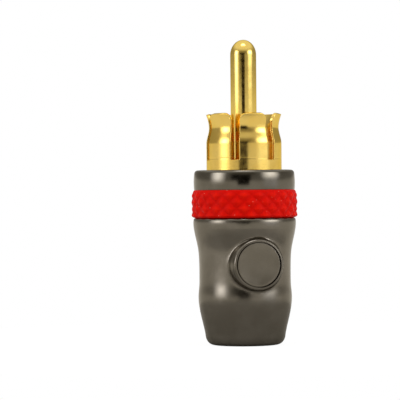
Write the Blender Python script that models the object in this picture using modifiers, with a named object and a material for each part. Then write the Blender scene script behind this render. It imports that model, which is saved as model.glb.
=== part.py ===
"""A right-angle phono plug that clamps its cable without solder.

The plug stands on its flat rear end with the contact pin pointing up. The cable enters from +Y,
a round badge boss faces -Y, and the origin is the middle of the rear end.
"""

import math

import bmesh
import bpy

MM = 0.001

# Fits between pieces
FIT = 0.05 * MM  # clearance of a piece that seats in or on another
SHELL_GAP = 0.15 * MM  # open ring seen between the shell and the nose ring
EDGE_BREAK = 0.05 * MM
OVERCUT = 1.0 * MM  # how far a cutter runs past the face that it opens

# Contacts that go into the socket
PIN_DIAMETER = 3.2 * MM
PIN_REACH = 9.18 * MM  # pin tip beyond the shell's lip
PIN_SEAT_DEPTH = 4.0 * MM  # full-diameter pin inside the insulator
TAIL_DIAMETER = 1.3 * MM
SHELL_DIAMETER = 9.2 * MM
SHELL_WALL = 0.42 * MM
SHELL_REACH = 6.9 * MM  # lip above the nose ring
SHELL_FLANGE = 0.6 * MM  # how far the flange stands out of the tube
SHELL_FLANGE_THICKNESS = 0.75 * MM
SHELL_LIP_INWARDS = 0.75 * MM  # rear lip that the insulator rests on
PETAL_COUNT = 6
SLOT_WIDTH = 1.0 * MM
SLOT_LENGTH = 5.45 * MM
PETAL_WAIST_DEPTH = 0.34 * MM
PETAL_WAIST_BELOW_LIP = 1.8 * MM
PETAL_CURVE_LENGTH = 3.75 * MM
INSULATOR_BELOW_SLOTS = 0.85 * MM

# Nose ring, colour band and the spigot that carries them
NOSE_LENGTH = 2.4 * MM
NOSE_INSET = 0.3 * MM  # ring below the band's knurl
NOSE_ROUND = 0.5 * MM
NOSE_TAIL_WALL = 0.55 * MM
SPIGOT_WALL = 0.6 * MM
SPIGOT_ROOT = 0.47 * MM  # flange seat above the shoulder
BAND_WIDTH = 3.25 * MM
BAND_THICKNESS = 0.55 * MM
KNURL_COUNT = 22
KNURL_ROWS = 4
KNURL_DEPTH = 0.2 * MM
KNURL_PITCH = 0.82 * MM  # from one row of tips to the next
KNURL_MARGIN = 0.27 * MM  # from the band's lower edge to the lowest tips

# Body casting, from the shoulder down
CABLE_HEIGHT = 10.0 * MM  # cable axis above the rear end
SHOULDER_INSET = 0.23 * MM  # shoulder below the band's knurl
SHOULDER_ROUND = 0.3 * MM
SHOULDER_WALL = 0.55 * MM  # upright below the rounded edge
FLANK_SWELL = 0.06 * MM  # radius beyond the waist where the flank starts to flare
FLANK_SLOPE = 0.07
FLANK_ABOVE_WAIST = 2.5 * MM
WAIST_DEPTH = 0.66 * MM
WAIST_BELOW_CABLE = 1.2 * MM
HIP_SWELL = 0.12 * MM
HIP_BELOW_WAIST = 2.9 * MM
FOOT_TAPER = 0.83 * MM
FOOT_SLOPE = 0.18
FOOT_HEIGHT = 1.3 * MM
FOOT_ROUND = 1.05 * MM
BODY_WALL = 0.66 * MM  # thinnest wall, behind the pocket
FLOOR_WALL = 0.75 * MM  # between the cable bore and the contact chamber
FLANGE_LEDGE = 0.3 * MM  # seat of the shell's flange

# Badge boss on the front
BADGE_RADIUS = 3.2 * MM
BADGE_STANDOUT = 0.64 * MM  # face beyond the waist
BADGE_SKIRT_LENGTH = 2.4 * MM
BADGE_FLARE = 0.55 * MM
BADGE_RIM_WIDTH = 0.38 * MM
BADGE_RIM_ROUND = 0.28 * MM
BADGE_GROOVE_WIDTH = 0.2 * MM
BADGE_GROOVE_DEPTH = 0.22 * MM
BADGE_FACE_DROP = 0.1 * MM

# Cable entry on the back
CABLE_HOLE_DIAMETER = 5.9 * MM
SLEEVE_WALL = 0.3 * MM
SLEEVE_RECESS = 0.4 * MM
ENTRY_STANDOUT = 0.64 * MM
ENTRY_RIM = 0.65 * MM  # wall of the boss at its mouth
ENTRY_RIM_ROUND = 0.3 * MM
ENTRY_SKIRT_LENGTH = 3.0 * MM
ENTRY_FLARE = 0.65 * MM
MOUTH_CHAMFER = 0.12 * MM

# Contact strip, its rivets and the insulating pieces round it
STRIP_WIDTH = 2.2 * MM
STRIP_THICKNESS = 0.3 * MM
STRIP_BEND = 0.45 * MM
STRIP_END = 1.1 * MM  # strip beyond the middle of each rivet
RIVET_HEAD_HEIGHT = 0.35 * MM
RIVET_HEAD_EXTRA = 0.35 * MM
RIVET_AIR = 0.15 * MM
DIVIDER_THICKNESS = 0.4 * MM
INSULATOR_NECK_LENGTH = 0.9 * MM
POCKET_SIDE_AIR = 0.4 * MM
POCKET_END_AIR = 0.25 * MM
HOLDER_FLANGE_THICKNESS = 0.6 * MM
HOLDER_NOSE_LENGTH = 0.8 * MM
HOLDER_BOSS_LENGTH = 0.65 * MM
HOLDER_BOSS_WALL = 0.8 * MM
SPIKE_DIAMETER = 1.1 * MM
SPIKE_LENGTH = 2.6 * MM
SPIKE_POINT_LENGTH = 1.2 * MM
SPIKE_COLLAR = 0.55 * MM  # how far the collar stands out of the spike
SPIKE_COLLAR_THICKNESS = 0.4 * MM

# Clamp screw in the rear end
SCREW_DIAMETER = 4.0 * MM
SCREW_RECESS = 0.35 * MM
SCREW_CHAMFER = 0.3 * MM
SCREW_SLOT_WIDTH = 0.6 * MM
SCREW_SLOT_DEPTH = 0.9 * MM
SCREW_HOLE_CHAMFER = 0.3 * MM
SLEEVE_SCREW_AIR = 0.1 * MM
TIP_LENGTH = 1.35 * MM
TIP_RIM = 0.3 * MM
TIP_INSET = 0.3 * MM  # cone's rim inside the screw's thread
TIP_POINT_DIAMETER = 0.5 * MM
TIP_STEM_DIAMETER = 1.6 * MM
TIP_STEM_LENGTH = 1.5 * MM
TIP_BELOW_SLEEVE = 0.1 * MM

# Radii that follow, from the shell's tube out to the band and back in to the rear end
PIN_RADIUS = PIN_DIAMETER / 2
TAIL_RADIUS = TAIL_DIAMETER / 2
RIVET_RADIUS = TAIL_RADIUS + RIVET_HEAD_EXTRA
SHELL_RADIUS = SHELL_DIAMETER / 2
SHELL_BORE = SHELL_RADIUS - SHELL_WALL
FLANGE_RADIUS = SHELL_RADIUS + SHELL_FLANGE
CHAMBER_RADIUS = FLANGE_RADIUS - FLANGE_LEDGE
NOSE_BORE = SHELL_RADIUS + SHELL_GAP
NOSE_TAIL_RADIUS = NOSE_BORE + NOSE_TAIL_WALL
SPIGOT_BORE = NOSE_TAIL_RADIUS + FIT
SPIGOT_RADIUS = SPIGOT_BORE + SPIGOT_WALL
BAND_BORE = SPIGOT_RADIUS + FIT
BAND_RADIUS = BAND_BORE + BAND_THICKNESS
NOSE_RADIUS = BAND_RADIUS - NOSE_INSET
SHOULDER_RADIUS = BAND_RADIUS - SHOULDER_INSET
WAIST_RADIUS = SHOULDER_RADIUS - WAIST_DEPTH
FLANK_RADIUS = WAIST_RADIUS + FLANK_SWELL
HIP_RADIUS = WAIST_RADIUS + HIP_SWELL
FOOT_RADIUS = HIP_RADIUS - FOOT_TAPER
BASE_RADIUS = FOOT_RADIUS - FOOT_ROUND
SLEEVE_BORE = CABLE_HOLE_DIAMETER / 2
SLEEVE_RADIUS = SLEEVE_BORE + SLEEVE_WALL
ENTRY_BORE = SLEEVE_RADIUS + FIT
ENTRY_RADIUS = ENTRY_BORE + ENTRY_RIM
SPIKE_RADIUS = SPIKE_DIAMETER / 2
HOLDER_BORE = SPIKE_RADIUS + FIT
HOLDER_BOSS_RADIUS = HOLDER_BORE + HOLDER_BOSS_WALL
SCREW_RADIUS = SCREW_DIAMETER / 2
SCREW_HOLE = SCREW_RADIUS + FIT
STEM_RADIUS = TIP_STEM_DIAMETER / 2

# Heights that follow, from the cable up to the pin's tip
CHAMBER_FLOOR = CABLE_HEIGHT + ENTRY_BORE + FLOOR_WALL
DIVIDER_BOTTOM = CHAMBER_FLOOR + FIT
DIVIDER_TOP = DIVIDER_BOTTOM + DIVIDER_THICKNESS
TAIL_END = DIVIDER_TOP + RIVET_AIR
TAIL_RIVET_TOP = TAIL_END + RIVET_HEAD_HEIGHT
STRIP_BOTTOM = TAIL_RIVET_TOP + FIT
STRIP_TOP = STRIP_BOTTOM + STRIP_THICKNESS
INSULATOR_BOTTOM = STRIP_TOP + FIT
FLANGE_BOTTOM = INSULATOR_BOTTOM + INSULATOR_NECK_LENGTH
FLANGE_SEAT = FLANGE_BOTTOM - FIT
FLANGE_TOP = FLANGE_BOTTOM + SHELL_FLANGE_THICKNESS
SHELL_LIP_TOP = FLANGE_BOTTOM + SHELL_WALL
INSULATOR_STEP = SHELL_LIP_TOP + FIT
NOSE_TAIL_BOTTOM = FLANGE_TOP + FIT
SHOULDER_HEIGHT = FLANGE_SEAT - SPIGOT_ROOT
BAND_BOTTOM = SHOULDER_HEIGHT + FIT
BAND_TOP = BAND_BOTTOM + BAND_WIDTH
NOSE_BOTTOM = BAND_TOP + FIT
NOSE_TOP = NOSE_BOTTOM + NOSE_LENGTH
LIP_HEIGHT = NOSE_TOP + SHELL_REACH
SLOT_BOTTOM = LIP_HEIGHT - SLOT_LENGTH
INSULATOR_TOP = SLOT_BOTTOM - INSULATOR_BELOW_SLOTS
PIN_SEAT = INSULATOR_TOP - PIN_SEAT_DEPTH
PIN_TIP = LIP_HEIGHT + PIN_REACH
WAIST_HEIGHT = CABLE_HEIGHT - WAIST_BELOW_CABLE
HIP_HEIGHT = WAIST_HEIGHT - HIP_BELOW_WAIST
FLANK_HEIGHT = WAIST_HEIGHT + FLANK_ABOVE_WAIST

# Places along the cable's axis, from the pocket behind the badge to the mouth at +Y
POCKET_END = BODY_WALL - WAIST_RADIUS
STUB_END = POCKET_END + POCKET_END_AIR
STUB_RIVET_FRONT = STUB_END + RIVET_HEAD_HEIGHT
STRIP_BACK = STUB_RIVET_FRONT + FIT
STRIP_FRONT = STRIP_BACK + STRIP_THICKNESS
HOLDER_BOSS_END = STRIP_FRONT + FIT
HOLDER_BACK = HOLDER_BOSS_END + HOLDER_BOSS_LENGTH
ENTRY_END = HOLDER_BACK - FIT
HOLDER_STEP = HOLDER_BACK + HOLDER_FLANGE_THICKNESS
SLEEVE_BACK = HOLDER_STEP + FIT
HOLDER_FRONT = HOLDER_STEP + HOLDER_NOSE_LENGTH
SPIKE_BASE = HOLDER_FRONT + FIT
SPIKE_TIP = SPIKE_BASE + SPIKE_LENGTH
ENTRY_REACH = WAIST_RADIUS + ENTRY_STANDOUT
SLEEVE_MOUTH = ENTRY_REACH - SLEEVE_RECESS
BADGE_REACH = WAIST_RADIUS + BADGE_STANDOUT

# Heights of the clamp tip's point, cone and stem, and of the screw under it
TIP_POINT = CABLE_HEIGHT - SLEEVE_BORE - TIP_BELOW_SLEEVE
TIP_CONE_BOTTOM = TIP_POINT - TIP_LENGTH
TIP_STEM_BOTTOM = TIP_CONE_BOTTOM - TIP_STEM_LENGTH
SCREW_TOP = TIP_CONE_BOTTOM - FIT

ROUND_STEPS = 48
SHELL_STEPS = 8 * PETAL_COUNT
BORE_STEPS = 36
SMALL_STEPS = 20
SHARP_ANGLE = math.radians(38)


def clear_scene():
    for obj in list(bpy.data.objects):
        bpy.data.objects.remove(obj)


def new_collection(name):
    made = bpy.data.collections.new(name)
    bpy.context.scene.collection.children.link(made)
    return made


def new_material(name, colour, metallic, roughness):
    made = bpy.data.materials.new(name)
    made.use_nodes = True
    shader = made.node_tree.nodes["Principled BSDF"]
    shader.inputs["Base Color"].default_value = (*colour, 1.0)
    shader.inputs["Metallic"].default_value = metallic
    shader.inputs["Roughness"].default_value = roughness
    return made


def place(obj, home, material):
    home.objects.link(obj)
    obj.data.materials.append(material)
    return obj


def arc(centre, radius, start, end, steps):
    """Points of an arc in the (radius, height) plane, from one angle in degrees to another."""
    angles = [math.radians(start + (end - start) * i / steps) for i in range(steps + 1)]
    return [(centre[0] + radius * math.cos(a), centre[1] + radius * math.sin(a)) for a in angles]


def blend(first, last, first_slope, last_slope, steps):
    """A smooth curve between two (radius, height) points, without the first one.

    A slope is the change of radius over height at that end.
    """
    span = last[1] - first[1]
    points = []
    for i in range(1, steps + 1):
        t = i / steps
        radius = (
            (2 * t**3 - 3 * t**2 + 1) * first[0]
            + (t**3 - 2 * t**2 + t) * span * first_slope
            + (3 * t**2 - 2 * t**3) * last[0]
            + (t**3 - t**2) * span * last_slope
        )
        points.append((radius, first[1] + span * t))
    return points


def turned(name, outline, steps, along="+Z", closed=False):
    """A turned solid from (radius, distance along the axis) points.

    The outline runs down the outer side. It ends on the axis, or is closed into a ring's section.
    Pieces along +Y and -Y turn about the cable's axis.
    """
    mesh = bpy.data.meshes.new(name)
    edges = [(i, i + 1) for i in range(len(outline) - 1)]
    if closed:
        edges.append((len(outline) - 1, 0))
    mesh.from_pydata([(radius, 0.0, height) for radius, height in outline], edges, [])
    obj = bpy.data.objects.new(name, mesh)
    screw = obj.modifiers.new("Turn", "SCREW")
    screw.steps = screw.render_steps = steps
    screw.use_merge_vertices = True
    screw.merge_threshold = 0.001 * MM
    if along != "+Z":
        obj.location.z = CABLE_HEIGHT
        obj.rotation_euler.x = -math.pi / 2 if along == "+Y" else math.pi / 2
    return obj


def rod(name, radius, low, high, steps, along="+Z"):
    """A plain cylinder, used to drill holes."""
    return turned(name, [(0.0, high), (radius, high), (radius, low), (0.0, low)], steps, along)


def block(name, low, high):
    """A box between two corners."""
    shape = bmesh.new()
    bmesh.ops.create_cube(shape, size=1.0)
    bmesh.ops.scale(shape, vec=[b - a for a, b in zip(low, high)], verts=shape.verts)
    bmesh.ops.translate(shape, vec=[(a + b) / 2 for a, b in zip(low, high)], verts=shape.verts)
    mesh = bpy.data.meshes.new(name)
    shape.to_mesh(mesh)
    shape.free()
    return bpy.data.objects.new(name, mesh)


def combine(target, helper, operation, helpers):
    """Cuts or joins a hidden helper, which stays in the helpers' collection."""
    helpers.objects.link(helper)
    helper.hide_render = True
    helper.display_type = "WIRE"
    boolean = target.modifiers.new(helper.name, "BOOLEAN")
    boolean.operation = operation
    boolean.solver = "EXACT"
    boolean.object = helper


def settle(obj):
    """Makes the modifiers' result the object's own mesh, shaded smooth up to its sharp edges."""
    bpy.context.view_layer.update()
    evaluated = obj.evaluated_get(bpy.context.evaluated_depsgraph_get())
    mesh = bpy.data.meshes.new_from_object(evaluated)
    obj.modifiers.clear()
    obj.data = mesh
    mesh.shade_smooth()
    mesh.set_sharp_from_angle(angle=SHARP_ANGLE)
    return obj


def silhouette():
    """The casting's outer side, from under the colour band down to the flat rear end."""
    foot = (FOOT_RADIUS, FOOT_HEIGHT)
    hip = (HIP_RADIUS, HIP_HEIGHT)
    waist = (WAIST_RADIUS, WAIST_HEIGHT)
    flank = (FLANK_RADIUS, FLANK_HEIGHT)
    edge = (SHOULDER_RADIUS, SHOULDER_HEIGHT - SHOULDER_ROUND)
    shoulder = (SHOULDER_RADIUS, edge[1] - SHOULDER_WALL)
    rising = [foot]
    rising += blend(foot, hip, FOOT_SLOPE, 0.0, 6)
    rising += blend(hip, waist, 0.0, 0.0, 3)
    rising += blend(waist, flank, 0.0, FLANK_SLOPE, 3)
    rising += blend(flank, shoulder, FLANK_SLOPE, 0.0, 7)
    round_top = arc((SHOULDER_RADIUS - SHOULDER_ROUND, edge[1]), SHOULDER_ROUND, 90, 0, 4)
    angles = [math.radians(15 * i) for i in range(1, 7)]
    round_foot = [(BASE_RADIUS + FOOT_ROUND * math.cos(a), FOOT_HEIGHT * (1 - math.sin(a))) for a in angles]
    return round_top + rising[::-1] + round_foot


def badge_outline():
    """The badge boss along -Y: a rounded rim, a groove and a plain centre, with a flared skirt."""
    face = BADGE_REACH
    inner = BADGE_RADIUS - BADGE_RIM_WIDTH
    root = inner - BADGE_GROOVE_WIDTH
    rim = arc((BADGE_RADIUS - BADGE_RIM_ROUND, face - BADGE_RIM_ROUND), BADGE_RIM_ROUND, 90, 0, 3)
    edge = rim[-1][1]
    skirt = [
        (BADGE_RADIUS + BADGE_FLARE * math.sin(math.pi / 2 * t), edge - BADGE_SKIRT_LENGTH * t)
        for t in (0.15, 0.35, 0.6, 1.0)
    ]
    return [
        (0.0, face - BADGE_FACE_DROP),
        (root, face - BADGE_FACE_DROP),
        (root, face - BADGE_GROOVE_DEPTH),
        (inner, face - BADGE_GROOVE_DEPTH),
        (inner, face),
        *rim,
        *skirt,
        (0.0, skirt[-1][1]),
    ]


def entry_outline():
    """The cable entry's boss along +Y, before its bore is cut."""
    rim = arc((ENTRY_RADIUS - ENTRY_RIM_ROUND, ENTRY_REACH - ENTRY_RIM_ROUND), ENTRY_RIM_ROUND, 90, 0, 4)
    edge = rim[-1][1]
    skirt = [
        (ENTRY_RADIUS + ENTRY_FLARE * t**2, edge - ENTRY_SKIRT_LENGTH * t)
        for t in (0.3, 0.5, 0.75, 1.0)
    ]
    return [(0.0, ENTRY_REACH), *rim, *skirt, (0.0, skirt[-1][1])]


def front_bore_outline():
    """The spigot's bore, the ledge for the shell's flange and the contact chamber."""
    return [
        (0.0, BAND_TOP + OVERCUT),
        (SPIGOT_BORE, BAND_TOP + OVERCUT),
        (SPIGOT_BORE, FLANGE_SEAT),
        (CHAMBER_RADIUS, FLANGE_SEAT),
        (CHAMBER_RADIUS, CHAMBER_FLOOR),
        (0.0, CHAMBER_FLOOR),
    ]


def cable_bore_outline():
    mouth = ENTRY_BORE + MOUTH_CHAMFER
    return [
        (0.0, ENTRY_REACH + OVERCUT),
        (mouth, ENTRY_REACH + OVERCUT),
        (mouth, ENTRY_REACH),
        (ENTRY_BORE, ENTRY_REACH - MOUTH_CHAMFER),
        (ENTRY_BORE, ENTRY_END),
        (0.0, ENTRY_END),
    ]


def screw_hole_outline():
    mouth = SCREW_HOLE + SCREW_HOLE_CHAMFER
    return [
        (0.0, CABLE_HEIGHT),
        (SCREW_HOLE, CABLE_HEIGHT),
        (SCREW_HOLE, SCREW_HOLE_CHAMFER),
        (mouth, 0.0),
        (mouth, -OVERCUT),
        (0.0, -OVERCUT),
    ]


def make_housing(home, helpers, material):
    """The casting: a tapered body, a badge boss, a cable entry, and the chambers inside."""
    outline = [
        (0.0, BAND_TOP),
        (SPIGOT_RADIUS - EDGE_BREAK, BAND_TOP),
        (SPIGOT_RADIUS, BAND_TOP - EDGE_BREAK),
        (SPIGOT_RADIUS, SHOULDER_HEIGHT),
        *silhouette(),
        (0.0, 0.0),
    ]
    housing = place(turned("housing", outline, ROUND_STEPS), home, material)
    combine(housing, turned("badge_form", badge_outline(), BORE_STEPS, "-Y"), "UNION", helpers)
    combine(housing, turned("entry_form", entry_outline(), BORE_STEPS, "+Y"), "UNION", helpers)

    half = STRIP_WIDTH / 2 + POCKET_SIDE_AIR
    pocket = block(
        "strip_pocket",
        (-half, POCKET_END, CABLE_HEIGHT - STRIP_END - POCKET_SIDE_AIR),
        (half, ENTRY_END + POCKET_SIDE_AIR, CHAMBER_FLOOR + POCKET_SIDE_AIR),
    )
    cuts = [
        turned("front_bore", front_bore_outline(), ROUND_STEPS),
        turned("cable_bore", cable_bore_outline(), BORE_STEPS, "+Y"),
        turned("screw_hole", screw_hole_outline(), BORE_STEPS),
        pocket,
    ]
    for cut in cuts:
        combine(housing, cut, "DIFFERENCE", helpers)
    return settle(housing)


def make_nose_ring(home, material):
    """The ring that holds the colour band on and clamps the shell's flange with its tail."""
    outline = [
        (NOSE_BORE, NOSE_TOP),
        *arc((NOSE_RADIUS - NOSE_ROUND, NOSE_TOP - NOSE_ROUND), NOSE_ROUND, 90, 0, 5),
        (NOSE_RADIUS, NOSE_BOTTOM + EDGE_BREAK),
        (NOSE_RADIUS - EDGE_BREAK, NOSE_BOTTOM),
        (NOSE_TAIL_RADIUS, NOSE_BOTTOM),
        (NOSE_TAIL_RADIUS, NOSE_TAIL_BOTTOM),
        (NOSE_BORE, NOSE_TAIL_BOTTOM),
    ]
    return settle(place(turned("nose_ring", outline, ROUND_STEPS, closed=True), home, material))


def knurl_heights():
    """Heights of the rows of knurl tips, from the bottom row up."""
    return [BAND_BOTTOM + KNURL_MARGIN + KNURL_PITCH * row for row in range(KNURL_ROWS)]


def make_colour_band(home, material):
    """A moulded ring whose outer side is a staggered field of four-sided pyramids.

    The ring is spun with two columns for each pyramid. Every other crossing of a row and a column
    is drawn out to a tip, and the faces between are folded along the valleys.
    """
    root = BAND_RADIUS - KNURL_DEPTH
    heights = knurl_heights()
    columns = 2 * KNURL_COUNT
    outline = [(BAND_BORE, BAND_BOTTOM), (BAND_BORE, BAND_TOP), (root, BAND_TOP)]
    outline += [(root, height) for height in heights[::-1]]
    outline += [(root, BAND_BOTTOM)]

    shape = bmesh.new()
    section = [shape.verts.new((radius, 0.0, height)) for radius, height in outline]
    edges = [shape.edges.new(pair) for pair in zip(section, section[1:] + section[:1])]
    bmesh.ops.spin(
        shape,
        geom=section + edges,
        axis=(0, 0, 1),
        cent=(0, 0, 0),
        steps=columns,
        angle=2 * math.pi,
        use_merge=True,
    )
    bmesh.ops.recalc_face_normals(shape, faces=shape.faces)

    tips, valleys = set(), set()
    for vert in shape.verts:
        row = min(range(KNURL_ROWS), key=lambda i: abs(vert.co.z - heights[i]))
        if vert.co.xy.length < root - EDGE_BREAK or abs(vert.co.z - heights[row]) > EDGE_BREAK:
            continue
        column = round(math.atan2(vert.co.y, vert.co.x) / (2 * math.pi) * columns)
        (tips if (row + column) % 2 == 0 else valleys).add(vert)
    for face in list(shape.faces):
        low = [vert for vert in face.verts if vert in valleys]
        if len(low) == 2 and tips & set(face.verts):
            bmesh.utils.face_split(face, low[0], low[1])
    for vert in tips:
        vert.co.xy *= BAND_RADIUS / root
    bmesh.ops.triangulate(shape, faces=[face for face in shape.faces if tips & set(face.verts)])

    mesh = bpy.data.meshes.new("colour_band")
    shape.to_mesh(mesh)
    shape.free()
    return place(bpy.data.objects.new("colour_band", mesh), home, material)


def petal_lean(below_lip):
    """How far a petal leans inwards, at a distance below the lip."""
    if below_lip < PETAL_WAIST_BELOW_LIP:
        share = below_lip / PETAL_WAIST_BELOW_LIP
    else:
        share = (PETAL_CURVE_LENGTH - below_lip) / (PETAL_CURVE_LENGTH - PETAL_WAIST_BELOW_LIP)
    return PETAL_WAIST_DEPTH * (1 - math.cos(math.pi * share)) / 2


def make_ground_shell(home, helpers, material):
    """The slotted outer contact: a flanged tube with waisted spring petals."""
    lip_round = SHELL_WALL / 3
    stations = 10
    depths = [PETAL_CURVE_LENGTH * i / stations for i in range(1, stations + 1)]
    outer = [(SHELL_RADIUS - petal_lean(depth), LIP_HEIGHT - depth) for depth in depths]
    inner = [(radius - SHELL_WALL, height) for radius, height in outer]
    outline = [
        (SHELL_BORE, LIP_HEIGHT - lip_round),
        (SHELL_BORE + lip_round, LIP_HEIGHT),
        (SHELL_RADIUS - lip_round, LIP_HEIGHT),
        (SHELL_RADIUS, LIP_HEIGHT - lip_round),
        *outer,
        (SHELL_RADIUS, FLANGE_TOP),
        (FLANGE_RADIUS, FLANGE_TOP),
        (FLANGE_RADIUS, FLANGE_BOTTOM),
        (SHELL_BORE - SHELL_LIP_INWARDS, FLANGE_BOTTOM),
        (SHELL_BORE - SHELL_LIP_INWARDS, SHELL_LIP_TOP),
        (SHELL_BORE, SHELL_LIP_TOP),
        *inner[::-1],
    ]
    shell = place(turned("ground_shell", outline, SHELL_STEPS, closed=True), home, material)
    reach = SHELL_RADIUS + OVERCUT
    for i in range(PETAL_COUNT):
        slot = block(
            f"petal_slot_{i + 1}",
            (0.0, -SLOT_WIDTH / 2, SLOT_BOTTOM),
            (reach, SLOT_WIDTH / 2, LIP_HEIGHT + OVERCUT),
        )
        slot.rotation_euler.z = 2 * math.pi * i / PETAL_COUNT
        combine(shell, slot, "DIFFERENCE", helpers)
    return settle(shell)


def make_pin_insulator(home, material):
    """A stepped bush: the pin stands in its wide bore and the pin's tail passes its narrow one."""
    radius = SHELL_BORE - FIT
    neck = SHELL_BORE - SHELL_LIP_INWARDS - FIT
    outline = [
        (PIN_RADIUS + FIT, INSULATOR_TOP),
        (radius - EDGE_BREAK, INSULATOR_TOP),
        (radius, INSULATOR_TOP - EDGE_BREAK),
        (radius, INSULATOR_STEP),
        (neck, INSULATOR_STEP),
        (neck, INSULATOR_BOTTOM),
        (TAIL_RADIUS + FIT, INSULATOR_BOTTOM),
        (TAIL_RADIUS + FIT, PIN_SEAT - FIT),
        (PIN_RADIUS + FIT, PIN_SEAT - FIT),
    ]
    return settle(place(turned("pin_insulator", outline, BORE_STEPS, closed=True), home, material))


def make_centre_pin(home, material):
    """The round-nosed pin, with a tail that is riveted over the contact strip."""
    nose = arc((0.0, PIN_TIP - PIN_RADIUS), PIN_RADIUS, 90, 0, 10)
    outline = [
        (0.0, PIN_TIP),
        *nose[1:],
        (PIN_RADIUS, PIN_SEAT),
        (TAIL_RADIUS, PIN_SEAT),
        (TAIL_RADIUS, TAIL_RIVET_TOP),
        (RIVET_RADIUS, TAIL_RIVET_TOP),
        (RIVET_RADIUS, TAIL_END + RIVET_HEAD_HEIGHT / 2),
        (TAIL_RADIUS, TAIL_END),
        (0.0, TAIL_END),
    ]
    return settle(place(turned("centre_pin", outline, BORE_STEPS), home, material))


def make_contact_strip(home, helpers, material):
    """A bent strip from the pin's tail down to the spike's stub, punched for both rivets."""
    level = (STRIP_BOTTOM + STRIP_TOP) / 2
    wall = (STRIP_BACK + STRIP_FRONT) / 2
    bend = arc((wall + STRIP_BEND, level - STRIP_BEND), STRIP_BEND, 90, 180, 5)
    path = [(STRIP_END, level), *bend, (wall, CABLE_HEIGHT - STRIP_END)]

    shape = bmesh.new()
    verts = [shape.verts.new((-STRIP_WIDTH / 2, y, z)) for y, z in path]
    edges = [shape.edges.new(pair) for pair in zip(verts, verts[1:])]
    pulled = bmesh.ops.extrude_edge_only(shape, edges=edges)["geom"]
    side = [item for item in pulled if isinstance(item, bmesh.types.BMVert)]
    bmesh.ops.translate(shape, vec=(STRIP_WIDTH, 0, 0), verts=side)
    mesh = bpy.data.meshes.new("contact_strip")
    shape.to_mesh(mesh)
    shape.free()
    strip = place(bpy.data.objects.new("contact_strip", mesh), home, material)
    gauge = strip.modifiers.new("Gauge", "SOLIDIFY")
    gauge.thickness = STRIP_THICKNESS
    gauge.offset = 0.0
    gauge.use_even_offset = True

    reach = STRIP_THICKNESS + OVERCUT
    tail_hole = rod("tail_hole", TAIL_RADIUS + FIT, level - reach, level + reach, SMALL_STEPS)
    stub_hole = rod("stub_hole", HOLDER_BORE, wall - reach, wall + reach, SMALL_STEPS, "+Y")
    combine(strip, tail_hole, "DIFFERENCE", helpers)
    combine(strip, stub_hole, "DIFFERENCE", helpers)
    return settle(strip)


def make_divider_washer(home, helpers, material):
    """The insulating washer on the chamber's floor, notched where the strip goes down."""
    radius = CHAMBER_RADIUS - FIT
    washer = rod("divider_washer", radius, DIVIDER_BOTTOM, DIVIDER_TOP, ROUND_STEPS)
    place(washer, home, material)
    half = (STRIP_WIDTH + POCKET_SIDE_AIR) / 2
    notch = block(
        "divider_notch",
        (-half, -radius - OVERCUT, DIVIDER_BOTTOM - OVERCUT),
        (half, STRIP_FRONT + POCKET_SIDE_AIR, DIVIDER_TOP + OVERCUT),
    )
    combine(washer, notch, "DIFFERENCE", helpers)
    return settle(washer)


def make_cable_sleeve(home, helpers, material):
    """The plated liner of the cable entry, drilled underneath for the clamp screw."""
    outline = [
        (SLEEVE_BORE + SLEEVE_WALL / 2, SLEEVE_MOUTH),
        (SLEEVE_RADIUS, SLEEVE_MOUTH),
        (SLEEVE_RADIUS, SLEEVE_BACK),
        (SLEEVE_BORE, SLEEVE_BACK),
        (SLEEVE_BORE, SLEEVE_MOUTH - SLEEVE_WALL / 2),
    ]
    sleeve = place(turned("cable_sleeve", outline, BORE_STEPS, "+Y", closed=True), home, material)
    radius = SCREW_RADIUS + SLEEVE_SCREW_AIR
    bottom = CABLE_HEIGHT - SLEEVE_RADIUS - OVERCUT
    combine(sleeve, rod("sleeve_drill", radius, bottom, CABLE_HEIGHT, BORE_STEPS), "DIFFERENCE", helpers)
    return settle(sleeve)


def make_spike_holder(home, material):
    """The insulating bush that closes the cable bore and carries the spike."""
    outline = [
        (HOLDER_BORE, HOLDER_FRONT),
        (SLEEVE_BORE - FIT, HOLDER_FRONT),
        (SLEEVE_BORE - FIT, HOLDER_STEP),
        (SLEEVE_RADIUS, HOLDER_STEP),
        (SLEEVE_RADIUS, HOLDER_BACK),
        (HOLDER_BOSS_RADIUS, HOLDER_BACK),
        (HOLDER_BOSS_RADIUS, HOLDER_BOSS_END),
        (HOLDER_BORE, HOLDER_BOSS_END),
    ]
    return settle(place(turned("spike_holder", outline, BORE_STEPS, "+Y", closed=True), home, material))


def make_core_spike(home, material):
    """The pointed contact that enters the cable's core, riveted over the strip behind the holder."""
    rivet = SPIKE_RADIUS + RIVET_HEAD_EXTRA
    collar = SPIKE_RADIUS + SPIKE_COLLAR
    outline = [
        (0.0, SPIKE_TIP),
        (SPIKE_RADIUS, SPIKE_TIP - SPIKE_POINT_LENGTH),
        (SPIKE_RADIUS, SPIKE_BASE + SPIKE_COLLAR_THICKNESS),
        (collar, SPIKE_BASE + SPIKE_COLLAR_THICKNESS),
        (collar, SPIKE_BASE),
        (SPIKE_RADIUS, SPIKE_BASE),
        (SPIKE_RADIUS, STUB_RIVET_FRONT),
        (rivet, STUB_RIVET_FRONT),
        (rivet, STUB_END + RIVET_HEAD_HEIGHT / 2),
        (SPIKE_RADIUS, STUB_END),
        (0.0, STUB_END),
    ]
    return settle(place(turned("core_spike", outline, SMALL_STEPS, "+Y"), home, material))


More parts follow.
